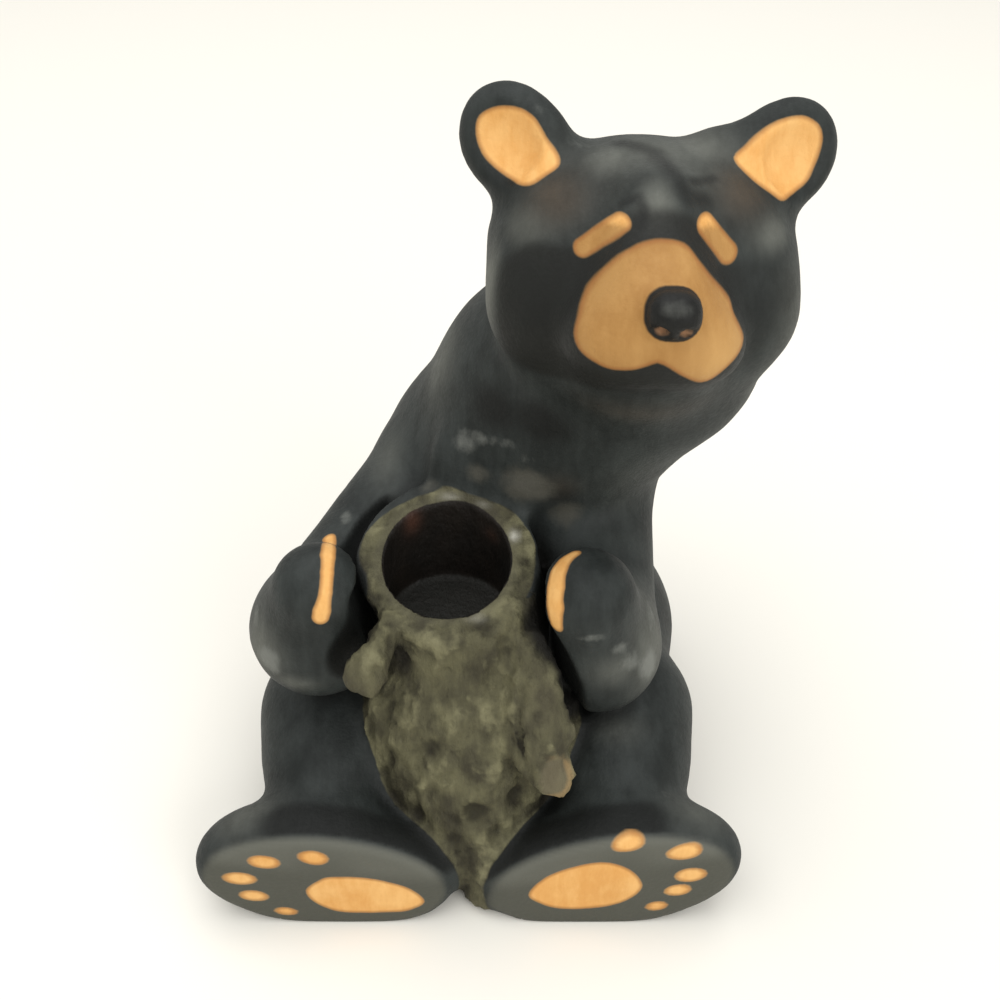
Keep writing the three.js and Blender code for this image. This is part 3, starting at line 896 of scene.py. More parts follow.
def ramp(tree, value, low, high, to_low=0.0, to_high=1.0):
    """A soft step from one value to another."""
    node = put(tree, "ShaderNodeMapRange", interpolation_type="SMOOTHSTEP")
    feed(tree, node.inputs["Value"], value)
    feed(tree, node.inputs["From Min"], low)
    feed(tree, node.inputs["From Max"], high)
    feed(tree, node.inputs["To Min"], to_low)
    feed(tree, node.inputs["To Max"], to_high)
    return node.outputs["Result"]


def layer(tree, amount, under, over):
    """One paint over another."""
    node = put(tree, "ShaderNodeMix", data_type="RGBA")
    feed(tree, node.inputs[0], amount)
    feed(tree, node.inputs[6], under)
    feed(tree, node.inputs[7], over)
    return node.outputs[2]


def stretched(tree, place, by):
    """A place drawn out along one way, so that a noise grows long that way."""
    node = put(tree, "ShaderNodeVectorMath", operation="MULTIPLY")
    feed(tree, node.inputs[0], place)
    node.inputs[1].default_value = by
    return node.outputs[0]


def noise(tree, place, scale, detail=3.0, roughness=0.5, seed=0.0, distortion=0.0):
    """Soft random clouds between 0 and 1."""
    node = put(tree, "ShaderNodeTexNoise", noise_dimensions="4D")
    feed(tree, node.inputs["Vector"], place)
    feed(tree, node.inputs["W"], seed)
    feed(tree, node.inputs["Scale"], scale)
    feed(tree, node.inputs["Detail"], detail)
    feed(tree, node.inputs["Roughness"], roughness)
    feed(tree, node.inputs["Distortion"], distortion)
    return node.outputs[0]


def new_group(name, kind, inputs, outputs):
    """A node group with named inputs and outputs."""
    tree = bpy.data.node_groups.new(name, kind)
    for key, socket, value in inputs:
        made = tree.interface.new_socket(key, in_out="INPUT", socket_type=socket)
        if value is not None:
            made.default_value = value
    for key, socket in outputs:
        tree.interface.new_socket(key, in_out="OUTPUT", socket_type=socket)
    entry = put(tree, "NodeGroupInput")
    leave = put(tree, "NodeGroupOutput")
    return tree, entry.outputs, leave.inputs


def use_group(tree, group, **values):
    """Places a group and sets its inputs by name, with _ for a space."""
    kind = "ShaderNodeGroup" if group.bl_idname == "ShaderNodeTree" else "GeometryNodeGroup"
    node = put(tree, kind, node_tree=group)
    for key, value in values.items():
        feed(tree, node.inputs[key.replace("_", " ")], value)
    return node.outputs


# Paint effects that several of the finishes share.
def brushed_paint_group():
    """Thin hand-brushed paint: two shades in soft clouds, with streaks of the brush."""
    tree, given, result = new_group(
        "brushed_paint", "ShaderNodeTree",
        [
            ("Place", "NodeSocketVector", None),
            ("Shade", "NodeSocketColor", (0.1, 0.1, 0.1, 1)),
            ("Light", "NodeSocketColor", (0.2, 0.2, 0.2, 1)),
            ("Cloud Scale", "NodeSocketFloat", 90.0),
            ("Streak Scale", "NodeSocketFloat", 500.0),
            ("Seed", "NodeSocketFloat", 0.0),
        ],
        [("Color", "NodeSocketColor"), ("Height", "NodeSocketFloat")],
    )
    clouds = noise(tree, given["Place"], given["Cloud Scale"], 4, 0.55, given["Seed"])
    brushed = stretched(tree, given["Place"], (1, 0.6, 0.25))
    streaks = noise(tree, brushed, given["Streak Scale"], 3, 0.6, given["Seed"])
    both = math_of(tree, "MULTIPLY_ADD", streaks, 0.45, math_of(tree, "MULTIPLY", clouds, 0.75))
    feed(tree, result["Color"], layer(tree, ramp(tree, both, 0.42, 0.78), given["Shade"], given["Light"]))
    feed(tree, result["Height"], both)
    return tree


def dry_brush_group():
    """Pale paint dragged over the raised parts, broken by the grain of the surface."""
    tree, given, result = new_group(
        "dry_brush", "ShaderNodeTree",
        [
            ("Place", "NodeSocketVector", None),
            ("Under", "NodeSocketColor", (0.1, 0.1, 0.1, 1)),
            ("Brush", "NodeSocketColor", (0.4, 0.4, 0.4, 1)),
            ("Touch", "NodeSocketFloat", 0.0),
            ("Grain Scale", "NodeSocketFloat", 700.0),
            ("Strength", "NodeSocketFloat", 0.8),
        ],
        [("Color", "NodeSocketColor"), ("Mask", "NodeSocketFloat")],
    )
    grain = noise(tree, stretched(tree, given["Place"], (1, 1, 0.55)), given["Grain Scale"], 4, 0.62)
    patches = noise(tree, given["Place"], 130.0, 3, 0.6, 3.0)
    broken = math_of(tree, "MULTIPLY_ADD", grain, 0.7, math_of(tree, "MULTIPLY", patches, 0.6))
    caught = math_of(tree, "ADD", given["Touch"], math_of(tree, "SUBTRACT", broken, 0.95))
    mask = math_of(tree, "MULTIPLY", ramp(tree, caught, 0.05, 0.6), given["Strength"])
    feed(tree, result["Color"], layer(tree, mask, given["Under"], given["Brush"]))
    feed(tree, result["Mask"], mask)
    return tree


def wash_and_shade_group():
    """Thin dark paint laid over a colour by an amount: real paint in some places, painted shade in the
    hollows and gaps in others.
    """
    tree, given, result = new_group(
        "wash_and_painted_shade", "ShaderNodeTree",
        [
            ("Under", "NodeSocketColor", (0.1, 0.1, 0.1, 1)),
            ("Wash", "NodeSocketColor", (0.01, 0.01, 0.01, 1)),
            ("Hollow", "NodeSocketFloat", 0.0),
            ("From", "NodeSocketFloat", 0.15),
            ("To", "NodeSocketFloat", 0.8),
            ("Strength", "NodeSocketFloat", 0.8),
        ],
        [("Color", "NodeSocketColor")],
    )
    settled = ramp(tree, given["Hollow"], given["From"], given["To"])
    amount = math_of(tree, "MULTIPLY", settled, given["Strength"])
    feed(tree, result["Color"], layer(tree, amount, given["Under"], given["Wash"]))
    return tree


def painted_stroke_group():
    """Distance in millimetres to one brush stroke, measured flat where a facing is given."""
    tree, given, result = new_group(
        "painted_stroke", "ShaderNodeTree",
        [
            ("Place", "NodeSocketVector", None),
            ("Start", "NodeSocketVector", (0, 0, 0)),
            ("End", "NodeSocketVector", (0, 0, 0.01)),
            ("Facing", "NodeSocketVector", (0, 0, 0)),
            ("Start Width", "NodeSocketFloat", 1.0),
            ("End Width", "NodeSocketFloat", 1.0),
        ],
        [("Distance", "NodeSocketFloat")],
    )

    def vector(operation, a, b=None, output="Vector", scale=None):
        node = put(tree, "ShaderNodeVectorMath", operation=operation)
        feed(tree, node.inputs[0], a)
        if b is not None:
            feed(tree, node.inputs[1], b)
        if scale is not None:
            feed(tree, node.inputs["Scale"], scale)
        return node.outputs[output]

    off = vector("SUBTRACT", given["Place"], given["Start"])
    flat = vector("SUBTRACT", off, vector("PROJECT", off, given["Facing"]))
    line = vector("SUBTRACT", given["End"], given["Start"])
    reached = vector("DOT_PRODUCT", flat, line, "Value")
    share = math_of(tree, "DIVIDE", reached, vector("DOT_PRODUCT", line, line, "Value"), clamp=True)
    away = vector("DISTANCE", flat, vector("SCALE", line, scale=share), "Value")
    widening = math_of(tree, "SUBTRACT", given["End Width"], given["Start Width"])
    width = math_of(tree, "MULTIPLY_ADD", share, widening, given["Start Width"])
    away = math_of(tree, "MULTIPLY", away, MILLIMETRES)
    feed(tree, result["Distance"], math_of(tree, "SUBTRACT", away, width))
    return tree


def patch_edge_group():
    """The wavering edge of a hand-painted patch, with a darker line where the paint thins."""
    tree, given, result = new_group(
        "patch_edge", "ShaderNodeTree",
        [
            ("Place", "NodeSocketVector", None),
            ("Distance", "NodeSocketFloat", 1.0),
            ("Waver", "NodeSocketFloat", 0.5),
            ("Softness", "NodeSocketFloat", 0.25),
            ("Rim Width", "NodeSocketFloat", 0.9),
        ],
        [("Inside", "NodeSocketFloat"), ("Rim", "NodeSocketFloat")],
    )
    waver = math_of(tree, "SUBTRACT", noise(tree, given["Place"], 260.0, 2, 0.5, 7.0), 0.5)
    distance = math_of(tree, "MULTIPLY_ADD", waver, given["Waver"], given["Distance"])
    inside = ramp(tree, distance, given["Softness"], math_of(tree, "MULTIPLY", given["Softness"], -1))
    far_in = math_of(tree, "MULTIPLY", given["Rim Width"], -1)
    rim = math_of(tree, "MULTIPLY", ramp(tree, distance, far_in, 0.0), inside)
    feed(tree, result["Inside"], inside)
    feed(tree, result["Rim"], rim)
    return tree


BRUSHED = brushed_paint_group()
DRY_BRUSH = dry_brush_group()
WASH_AND_SHADE = wash_and_shade_group()
PATCH_EDGE = patch_edge_group()
STROKE = painted_stroke_group()

# Paints, as linear colours, among them the colours of painted highlights and painted shade.
CHARCOAL = (0.0125, 0.0152, 0.0142, 1)
CHARCOAL_LIGHT = (0.033, 0.0385, 0.0365, 1)
HAZE_AND_SHEEN_GREY = (0.135, 0.139, 0.120, 1)
MASK_BLACK = (0.0085, 0.0088, 0.0072, 1)
SHADE_BLACK = (0.0050, 0.0056, 0.0050, 1)
PALE_GREY = (0.190, 0.198, 0.180, 1)
SOLE_GREY = (0.082, 0.083, 0.066, 1)
SOLE_RIDGE_HIGHLIGHT = (0.150, 0.152, 0.128, 1)
FUR_BROWN = (0.070, 0.054, 0.038, 1)
GOLD = (0.68, 0.34, 0.095, 1)
GOLD_LIGHT = (0.80, 0.47, 0.17, 1)
MUZZLE_GOLD = (0.32, 0.155, 0.040, 1)
MUZZLE_LIGHT = (0.43, 0.235, 0.075, 1)
MUZZLE_HIGHLIGHT_GOLD = (0.66, 0.40, 0.15, 1)
GOLD_RIM = (0.25, 0.085, 0.022, 1)
BARK = (0.044, 0.040, 0.0245, 1)
BARK_LIGHT = (0.120, 0.113, 0.062, 1)
BARK_PALE = (0.235, 0.222, 0.125, 1)
BARK_FLECK_AND_SHADE = (0.0095, 0.0078, 0.0050, 1)
GREY_BARK = (0.082, 0.079, 0.064, 1)
WOOD_BROWN = (0.060, 0.052, 0.034, 1)
CUT_WOOD = (0.120, 0.103, 0.064, 1)
CUT_RIM_HIGHLIGHT = (0.25, 0.175, 0.085, 1)
RIM_OLIVE = (0.068, 0.063, 0.042, 1)
GAP_SHADE_BLACK = (0.0060, 0.0055, 0.0042, 1)
BORE_WALL = (0.0082, 0.0070, 0.0055, 1)
BORE_LIGHT = (0.0150, 0.0115, 0.0088, 1)
BORE_WARM_HIGHLIGHT = (0.075, 0.034, 0.022, 1)
BORE_BASE = (0.0200, 0.0195, 0.0168, 1)
NOSE_BLACK = (0.0075, 0.0078, 0.0070, 1)
NOSE_HIGHLIGHT_GREY = (0.075, 0.078, 0.070, 1)
NOSTRIL_TAN = (0.36, 0.19, 0.095, 1)
GLINT_WHITE = (0.55, 0.54, 0.47, 1)

# Height of the brush marks, in metres.
BRUSH_MARK_HEIGHT = 0.0004


def mark(tree, name):
    """How much of one paint a point takes."""
    return put(tree, "ShaderNodeAttribute", attribute_name=name).outputs["Fac"]


def darkened(tree, under, wash, amount, low, high, strength):
    """A colour with thin dark paint over it, which is real paint in some places and painted shade in
    others.
    """
    washing = use_group(
        tree, WASH_AND_SHADE, Under=under, Wash=wash, Hollow=amount, From=low, To=high, Strength=strength,
    )
    return washing["Color"]


def times(tree, a, b):
    """One amount times another."""
    return math_of(tree, "MULTIPLY", a, b)


def coat_paint(tree, place):
    """The charcoal coat with brown tints, a dark mask, soles and dry-brushed edges, and with painted sheen,
    highlights and shade.
    """
    mask, dark = mark(tree, "mask"), mark(tree, "dark")
    coat = use_group(
        tree, BRUSHED, Place=place, Shade=CHARCOAL, Light=CHARCOAL_LIGHT, Cloud_Scale=62.0,
        Streak_Scale=380.0,
    )
    mottled = ramp(tree, coat["Height"], 0.35, 0.8, 0.55, 1.0)
    # Soft grey that is partly painted sheen on the lit parts of the coat.
    fur = layer(tree, times(tree, mark(tree, "haze_and_sheen"), mottled), coat["Color"], HAZE_AND_SHEEN_GREY)
    fur = layer(tree, times(tree, mark(tree, "brown"), times(tree, mottled, 0.95)), fur, FUR_BROWN)
    fur = layer(tree, times(tree, mark(tree, "sole"), 0.85), fur, SOLE_GREY)
    # Painted highlight along the ridge over each sole.
    fur = layer(tree, times(tree, mark(tree, "sole_ridge_highlight"), 0.55), fur, SOLE_RIDGE_HIGHLIGHT)
    fur = darkened(tree, fur, MASK_BLACK, mask, 0.0, 1.0, 0.85)
    # Painted shade under the head, between the limbs and on the tops of the feet.
    fur = darkened(tree, fur, SHADE_BLACK, dark, 0.12, 0.95, 0.85)
    edges = ramp(tree, mark(tree, "raised"), 0.08, 0.55)
    # Dry brush on the raised edges and on the pale touches, which are partly painted highlight.
    touch = math_of(tree, "MULTIPLY_ADD", edges, 0.16, mark(tree, "pale"))
    kept_dark = math_of(tree, "MULTIPLY_ADD", mask, 0.5, times(tree, dark, 0.3))
    touch = math_of(tree, "SUBTRACT", touch, kept_dark)
    brushed = use_group(
        tree, DRY_BRUSH, Place=place, Under=fur, Brush=PALE_GREY, Touch=touch, Grain_Scale=480.0,
        Strength=0.68,
    )
    # Painted shade in the hollows.
    fur = darkened(tree, brushed["Color"], SHADE_BLACK, mark(tree, "hollow"), 0.25, 0.95, 0.85)
    chest_bark = use_group(
        tree, DRY_BRUSH, Place=place, Under=fur, Brush=GREY_BARK, Touch=mark(tree, "grey_bark"),
        Grain_Scale=300.0, Strength=0.85,
    )
    height = math_of(tree, "MULTIPLY_ADD", brushed["Mask"], 0.8, coat["Height"])
    return chest_bark["Color"], height


def brush_stroke(tree, place, line, facing=(0, 0, 0)):
    """Distance to a stroke drawn by its places and widths in shares."""
    nearest = None
    for (*start, start_width), (*end, end_width) in zip(line, line[1:]):
        ends = [tuple((np.array(at) * SHARE - MIDDLE) / MILLIMETRES) for at in (start, end)]
        away = use_group(
            tree, STROKE, Place=place, Start=ends[0], End=ends[1], Facing=facing,
            Start_Width=start_width * SHARE, End_Width=end_width * SHARE,
        )["Distance"]
        nearest = away if nearest is None else math_of(tree, "SMOOTH_MIN", nearest, away, 0.5)
    return nearest


def golden_strokes(tree, place):
    """Distance to the brows and to the strokes on the paws."""
    head_front = tuple(HEAD_TURN[:, 1])
    brows = []
    for brow in (LEFT_BROW, RIGHT_BROW):
        line = [(*on_head(*at), width) for *at, width in brow]
        brows.append(brush_stroke(tree, place, line, head_front))
    brows = math_of(tree, "MINIMUM", *brows)
    strokes = math_of(tree, "MULTIPLY_ADD", mark(tree, "behind_face"), UNPAINTED, brows)
    for line in (LEFT_PAW_STROKE, LEFT_ARM_STROKE, RIGHT_PAW_STROKE):
        strokes = math_of(tree, "MINIMUM", strokes, brush_stroke(tree, place, line))
    return strokes


def golden_paint(tree, place, under):
    """The golden patches; the muzzle is a darker gold than the rest, with a painted highlight on its lower
    right and top.
    """
    gold = use_group(
        tree, BRUSHED, Place=place, Shade=GOLD, Light=GOLD_LIGHT, Cloud_Scale=110.0, Streak_Scale=600.0,
        Seed=2.0,
    )
    muzzle = use_group(
        tree, BRUSHED, Place=place, Shade=MUZZLE_GOLD, Light=MUZZLE_LIGHT, Cloud_Scale=80.0,
        Streak_Scale=420.0, Seed=3.0,
    )
    away = math_of(tree, "MINIMUM", golden_strokes(tree, place), mark(tree, "golden_edge"))
    edge = use_group(tree, PATCH_EDGE, Place=place, Distance=away, Waver=0.3, Softness=0.24, Rim_Width=0.8)
    # Painted highlight on the muzzle's lower right and top.
    muzzle_paint = layer(tree, times(tree, mark(tree, "muzzle_highlight"), 0.8), muzzle["Color"], MUZZLE_HIGHLIGHT_GOLD)
    golden = layer(tree, mark(tree, "muzzle"), gold["Color"], muzzle_paint)
    golden = layer(tree, times(tree, edge["Rim"], 0.65), golden, GOLD_RIM)
    return layer(tree, edge["Inside"], under, golden)


def nose_paint(tree, place, under):
    """The black nose, with a painted grey highlight on its top and tan nostrils."""
    edge = use_group(
        tree, PATCH_EDGE, Place=place, Distance=mark(tree, "nose_edge"), Waver=0.25, Softness=0.2,
        Rim_Width=0.6,
    )
    black = use_group(
        tree, DRY_BRUSH, Place=place, Under=NOSE_BLACK, Brush=NOSE_HIGHLIGHT_GREY, Touch=mark(tree, "nose_highlight"),
        Grain_Scale=420.0, Strength=0.85,
    )
    nostril = ramp(tree, mark(tree, "nostril"), 0.35, 0.8, 0.0, 0.85)
    painted = layer(tree, nostril, black["Color"], NOSTRIL_TAN)
    return layer(tree, edge["Inside"], under, painted), edge["Inside"]


def bark_paint(tree, place):
    """The stump's bark: olive brown, paler on its ridges, dark brown in its knots, with painted shade in
    its splits, low places and hollows, and painted glints on the rim.
    """
    bark = use_group(
        tree, BRUSHED, Place=place, Shade=BARK, Light=BARK_LIGHT, Cloud_Scale=120.0, Streak_Scale=460.0,
        Seed=5.0,
    )
    edges = ramp(tree, mark(tree, "raised"), 0.08, 0.55)
    worn = ramp(tree, noise(tree, place, 75.0, 3, 0.55, 6.0), 0.5, 0.66)
    flecks = noise(tree, stretched(tree, place, (1, 1, 0.5)), 270.0, 4, 0.6, 15.0, 0.3)
    ridges = math_of(tree, "MULTIPLY_ADD", edges, 0.2, mark(tree, "bark_height"))
    ridges = math_of(tree, "MULTIPLY_ADD", worn, 0.3, ridges)
    pale_ridges = use_group(
        tree, DRY_BRUSH, Place=place, Under=bark["Color"], Brush=BARK_PALE, Touch=ridges, Grain_Scale=520.0,
        Strength=0.7,
    )
    flecked = darkened(tree, pale_ridges["Color"], BARK_FLECK_AND_SHADE, flecks, 0.56, 0.8, 0.6)
    bare_wood = layer(tree, times(tree, mark(tree, "wood"), 0.85), flecked, WOOD_BROWN)
    lip = ramp(tree, mark(tree, "bore_edge"), 2.6, 0.6, 0.0, 0.5)
    with_lip = layer(tree, lip, bare_wood, RIM_OLIVE)
    # Painted golden highlight on the right and lower sides of the cut end.
    cut_wood = layer(tree, ramp(tree, mark(tree, "cut_highlight_ring"), 1.5, 2.3), CUT_WOOD, CUT_RIM_HIGHLIGHT)
    with_cut = layer(tree, mark(tree, "cut"), with_lip, cut_wood)
    # Painted shade in the splits, in the low places of the bark and in its hollows; in the knots the same
    # darkening is their dark brown paint.
    dark = darkened(tree, with_cut, BARK_FLECK_AND_SHADE, mark(tree, "split"), 0.2, 0.9, 0.9)
    dark = darkened(tree, dark, BARK_FLECK_AND_SHADE, mark(tree, "bark_depth"), 0.2, 1.05, 0.75)
    dark = darkened(tree, dark, BARK_FLECK_AND_SHADE, mark(tree, "hollow"), 0.25, 0.9, 0.9)
    bark_grain = noise(tree, stretched(tree, place, (1, 1, 0.4)), 900.0, 5, 0.65, 11.0)
    height = math_of(tree, "MULTIPLY_ADD", flecks, -3.0, times(tree, bark_grain, 2.6))
    return layer(tree, mark(tree, "glint"), dark, GLINT_WHITE), height


def bore_paint(tree, place, under):
    """The candle bore: near black, with a painted reddish-brown highlight high on its wall and a greyer
    floor.
    """
    wall = use_group(
        tree, BRUSHED, Place=place, Shade=BORE_WALL, Light=BORE_LIGHT, Cloud_Scale=85.0, Streak_Scale=260.0,
        Seed=9.0,
    )
    bore_depth = mark(tree, "bore_depth")
    base = ramp(tree, bore_depth, BORE_DEPTH - 0.9, BORE_DEPTH - 0.3)
    # Painted reddish-brown highlight high on the wall.
    highlighted_wall = layer(tree, times(tree, mark(tree, "bore_highlight"), 0.9), wall["Color"], BORE_WARM_HIGHLIGHT)
    painted = layer(tree, base, highlighted_wall, BORE_BASE)
    away = math_of(tree, "SUBTRACT", mark(tree, "bore_edge"), 0.35)
    edge = use_group(tree, PATCH_EDGE, Place=place, Distance=away, Waver=0.2, Softness=0.1, Rim_Width=0.1)
    inside = times(tree, edge["Inside"], ramp(tree, bore_depth, -7.0, -5.0))
    return layer(tree, inside, under, painted), inside


def painted_resin():
    """The hand-painted finish of the whole casting, with painted highlights and painted shade in its
    colour.
    """
    material = bpy.data.materials.new("painted_resin")
    material.use_nodes = True
    tree = material.node_tree
    shader = tree.nodes["Principled BSDF"]
    place = put(tree, "ShaderNodeTexCoord").outputs["Object"]

    fur, coat_height = coat_paint(tree, place)
    fur = golden_paint(tree, place, fur)
    fur, on_nose = nose_paint(tree, place, fur)
    bark, bark_height = bark_paint(tree, place)
    away = math_of(tree, "SUBTRACT", 0.5, mark(tree, "stump"))
    is_stump = use_group(
        tree, PATCH_EDGE, Place=place, Distance=away, Waver=0.5, Softness=0.16, Rim_Width=0.1,
    )
    color = layer(tree, is_stump["Inside"], fur, bark)
    # Painted shade in the gaps beside the paws.
    color = darkened(tree, color, GAP_SHADE_BLACK, mark(tree, "gap"), 0.2, 0.9, 0.9)
    color, in_bore = bore_paint(tree, place, color)
    feed(tree, shader.inputs["Base Color"], color)

    # Matt paint, with a little gloss on the nose and down the bore.
    grain = noise(tree, place, 1400.0, 3, 0.6, 1.0)
    roughness = ramp(tree, grain, 0.2, 0.8, 0.54, 0.68)
    roughness = math_of(tree, "SUBTRACT", roughness, times(tree, on_nose, 0.06))
    roughness = math_of(tree, "SUBTRACT", roughness, times(tree, in_bore, 0.18))
    roughness = math_of(tree, "ADD", roughness, times(tree, is_stump["Inside"], 0.12), clamp=True)
    feed(tree, shader.inputs["Roughness"], roughness)
    shader.inputs["Specular IOR Level"].default_value = 0.22

    # Brush marks and the grain of the cast surface.
    fine = math_of(tree, "MULTIPLY_ADD", grain, 0.5, coat_height)
    fine = math_of(tree, "MULTIPLY_ADD", bark_height, is_stump["Inside"], fine)
    bump = put(tree, "ShaderNodeBump")
    bump.inputs["Strength"].default_value = 0.6
    bump.inputs["Distance"].default_value = BRUSH_MARK_HEIGHT
    feed(tree, bump.inputs["Height"], fine)
    feed(tree, shader.inputs["Normal"], bump.outputs["Normal"])
    return material


def bark_relief_tree():
    """Raises the bark's chips and ridges on the stump, and the soft tool marks on the coat."""
    tree, given, result = new_group(
        "bark_relief", "GeometryNodeTree",
        [
            ("Geometry", "NodeSocketGeometry", None),
            ("Ridge Height", "NodeSocketFloat", 0.0009),
            ("Ridge Scale", "NodeSocketFloat", 190.0),
            ("Chip Height", "NodeSocketFloat", 0.0005),
            ("Chip Scale", "NodeSocketFloat", 420.0),
            ("Knot Depth", "NodeSocketFloat", 0.0014),
            ("Coat Height", "NodeSocketFloat", 0.00025),
            ("Coat Scale", "NodeSocketFloat", 120.0),
            ("Seed", "NodeSocketFloat", 4.0),
            ("Finish", "NodeSocketMaterial", None),
        ],
        [("Geometry", "NodeSocketGeometry")],
    )

    def read(name):
        node = put(tree, "GeometryNodeInputNamedAttribute", data_type="FLOAT")
        node.inputs["Name"].default_value = name
        return node.outputs["Attribute"]

    def store(geometry, name, value):
        node = put(tree, "GeometryNodeStoreNamedAttribute", data_type="FLOAT", domain="POINT")
        feed(tree, node.inputs["Geometry"], geometry)
        node.inputs["Name"].default_value = name
        feed(tree, node.inputs["Value"], value)
        return node.outputs["Geometry"]

    place = put(tree, "GeometryNodeInputPosition").outputs[0]
    along_grain = stretched(tree, place, (1, 1, 0.42))
    ridges = noise(tree, along_grain, given["Ridge Scale"], 2, 0.5, given["Seed"], 0.8)
    ridges = math_of(tree, "SUBTRACT", ridges, 0.5)
    across_grain = stretched(tree, place, (1, 1, 0.7))
    chips = noise(tree, across_grain, given["Chip Scale"], 2, 0.6, given["Seed"], 0.5)
    chips = math_of(tree, "SUBTRACT", chips, 0.5)
    on_bark = ramp(tree, read("stump"), 0.45, 0.85)
    off_rim = math_of(tree, "MULTIPLY", on_bark, ramp(tree, read("bore_edge"), 0.3, 2.2, 0.1, 1.0))
    lift = math_of(tree, "MULTIPLY", ridges, math_of(tree, "MULTIPLY", given["Ridge Height"], 2.6))
    lift = math_of(tree, "MULTIPLY_ADD", chips, math_of(tree, "MULTIPLY", given["Chip Height"], 2.6), lift)
    lift = math_of(tree, "SUBTRACT", lift, math_of(tree, "MULTIPLY", read("knot"), given["Knot Depth"]))
    on_wood = math_of(tree, "MULTIPLY_ADD", read("wood"), -0.6, 1.0)
    bark_lift = math_of(tree, "MULTIPLY", lift, math_of(tree, "MULTIPLY", off_rim, on_wood))
    coat = math_of(tree, "SUBTRACT", noise(tree, place, given["Coat Scale"], 3, 0.5, given["Seed"]), 0.5)
    coat_lift = math_of(tree, "MULTIPLY", coat, math_of(tree, "MULTIPLY", given["Coat Height"], 2.0))
    clear = math_of(tree, "SUBTRACT", 1.0, on_bark)
    clear = math_of(tree, "MULTIPLY", clear, ramp(tree, read("golden_edge"), -0.5, 1.0, 0.35, 1.0))
    clear = math_of(tree, "MULTIPLY", clear, ramp(tree, read("bore_edge"), 0.2, 1.0))
    clear = math_of(tree, "MULTIPLY", clear, math_of(tree, "MULTIPLY_ADD", read("grey_bark"), 5.0, 1.0))
    total = math_of(tree, "MULTIPLY_ADD", coat_lift, clear, bark_lift)
    standing = put(tree, "ShaderNodeSeparateXYZ")
    feed(tree, standing.inputs[0], place)
    total = math_of(tree, "MULTIPLY", total, ramp(tree, standing.outputs["Z"], 0.0003, 0.002))
    signed = math_of(tree, "MULTIPLY", bark_lift, 900.0)

    height = math_of(tree, "MULTIPLY_ADD", signed, 0.55, 0.28, clamp=True)
    shape = store(given["Geometry"], "bark_height", height)
    # How low each place of the bark lies, and where its knots are, for painted shade in the low places and
    # the knots' dark paint.
    deep = math_of(tree, "MAXIMUM", math_of(tree, "MULTIPLY", signed, -1.1), read("knot"))
    shape = store(shape, "bark_depth", math_of(tree, "MULTIPLY", deep, on_bark, clamp=True))
    push = put(tree, "ShaderNodeVectorMath", operation="SCALE")
    feed(tree, push.inputs[0], put(tree, "GeometryNodeInputNormal").outputs[0])
    feed(tree, push.inputs["Scale"], total)
    moved = put(tree, "GeometryNodeSetPosition")
    feed(tree, moved.inputs["Geometry"], shape)
    feed(tree, moved.inputs["Offset"], push.outputs[0])
    whole = put(tree, "GeometryNodeRealizeInstances")
    feed(tree, whole.inputs["Geometry"], moved.outputs["Geometry"])
    finish = put(tree, "GeometryNodeSetMaterial")
    feed(tree, finish.inputs["Geometry"], whole.outputs["Geometry"])
    feed(tree, finish.inputs["Material"], given["Finish"])
    feed(tree, result["Geometry"], finish.outputs["Geometry"])
    return tree


def grown(name, mesh, tree, **values):
    """Runs a Geometry Nodes tree on a mesh and keeps the plain result."""
    holder = bpy.data.objects.new(name + "_blank", mesh)
    bpy.context.scene.collection.objects.link(holder)
    modifier = holder.modifiers.new(name, "NODES")
    modifier.node_group = tree
    sockets = {s.name: s.identifier for s in tree.interface.items_tree if s.in_out == "INPUT"}
    for key, value in values.items():
        modifier[sockets[key.replace("_", " ")]] = value
    bpy.context.view_layer.update()
    depsgraph = bpy.context.evaluated_depsgraph_get()
    evaluated = holder.evaluated_get(depsgraph)
    result = bpy.data.meshes.new_from_object(evaluated, preserve_all_data_layers=True, depsgraph=depsgraph)
    holder.modifiers.remove(modifier)
    bpy.data.objects.remove(holder)
    result.name = name
    piece = bpy.data.objects.new(name, result)
    bpy.context.scene.collection.objects.link(piece)
    return piece


points, faces = casting_skin()
casting = grown(
    "bear_casting",
    mesh_from("bear_blank", points, faces, painters_marks(points)),
    bark_relief_tree(),
    Ridge_Height=0.0013,
    Ridge_Scale=190.0,
    Chip_Height=0.0009,
    Chip_Scale=420.0,
    Knot_Depth=0.0015,
    Coat_Height=0.0002,
    Coat_Scale=120.0,
    Seed=4.0,
    Finish=painted_resin(),
)
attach(casting, "root")
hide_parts("bear_candle_holder")


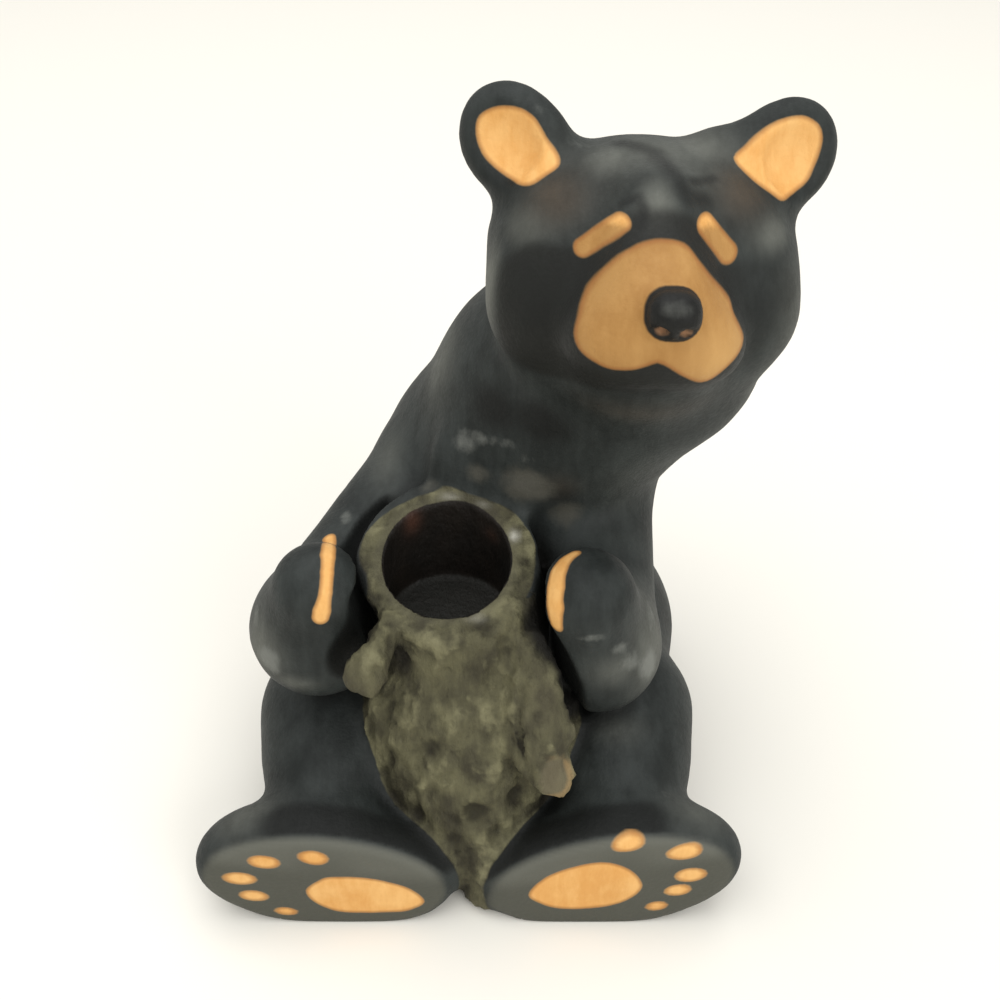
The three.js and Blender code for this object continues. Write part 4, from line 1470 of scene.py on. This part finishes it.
# The plain studio.
def flat_material(name, color, roughness):
    material = bpy.data.materials.new(name)
    material.use_nodes = True
    shader = material.node_tree.nodes["Principled BSDF"]
    shader.inputs["Base Color"].default_value = color
    shader.inputs["Roughness"].default_value = roughness
    shader.inputs["Specular IOR Level"].default_value = 0.2
    return material


FLOOR_HALF = 3.0
FLOOR_CORNERS = [(x * FLOOR_HALF, y * FLOOR_HALF, 0) for x, y in ((-1, -1), (1, -1), (1, 1), (-1, 1))]
floor_mesh = bpy.data.meshes.new("floor")
floor_mesh.from_pydata(FLOOR_CORNERS, [], [(0, 1, 2, 3)])
floor_mesh.materials.append(flat_material("pale_floor", (0.87, 0.85, 0.785, 1), 0.7))
floor = bpy.data.objects.new("floor", floor_mesh)
bpy.context.scene.collection.objects.link(floor)

world = bpy.data.worlds.new("soft_room")
world.use_nodes = True
world.node_tree.nodes["Background"].inputs["Color"].default_value = (1.0, 0.985, 0.96, 1)
world.node_tree.nodes["Background"].inputs["Strength"].default_value = 0.68
bpy.context.scene.world = world


def softbox(name, place, target, width, depth, watts):
    """A large soft lamp that faces the bear."""
    lamp = bpy.data.lights.new(name, "AREA")
    lamp.shape = "RECTANGLE"
    lamp.size = width
    lamp.size_y = depth
    lamp.energy = watts
    holder = bpy.data.objects.new(name, lamp)
    holder.location = place
    holder.rotation_euler = (Vector(target) - Vector(place)).to_track_quat("-Z", "Y").to_euler()
    bpy.context.scene.collection.objects.link(holder)


BEAR_MIDDLE = (0, 0, 0.06)
softbox("ceiling_softbox", (-0.08, 0.0, 0.95), BEAR_MIDDLE, 1.3, 1.1, 7.5)
softbox("front_softbox", (0.5, -0.8, 0.55), BEAR_MIDDLE, 0.6, 0.5, 3.6)

# The camera stands where the photograph was taken from.
CAMERA_AT = (-0.0008, -0.1834, 0.2032)
CAMERA_DIP = 38
camera_data = bpy.data.cameras.new("camera")
camera_data.lens = 45
camera_data.sensor_width = 36
camera_data.clip_start = 0.01
camera = bpy.data.objects.new("camera", camera_data)
camera.location = CAMERA_AT
camera.rotation_euler = (math.radians(90 - CAMERA_DIP), 0, 0)
bpy.context.scene.collection.objects.link(camera)
bpy.context.scene.camera = camera
bpy.context.scene.view_settings.view_transform = "Standard"
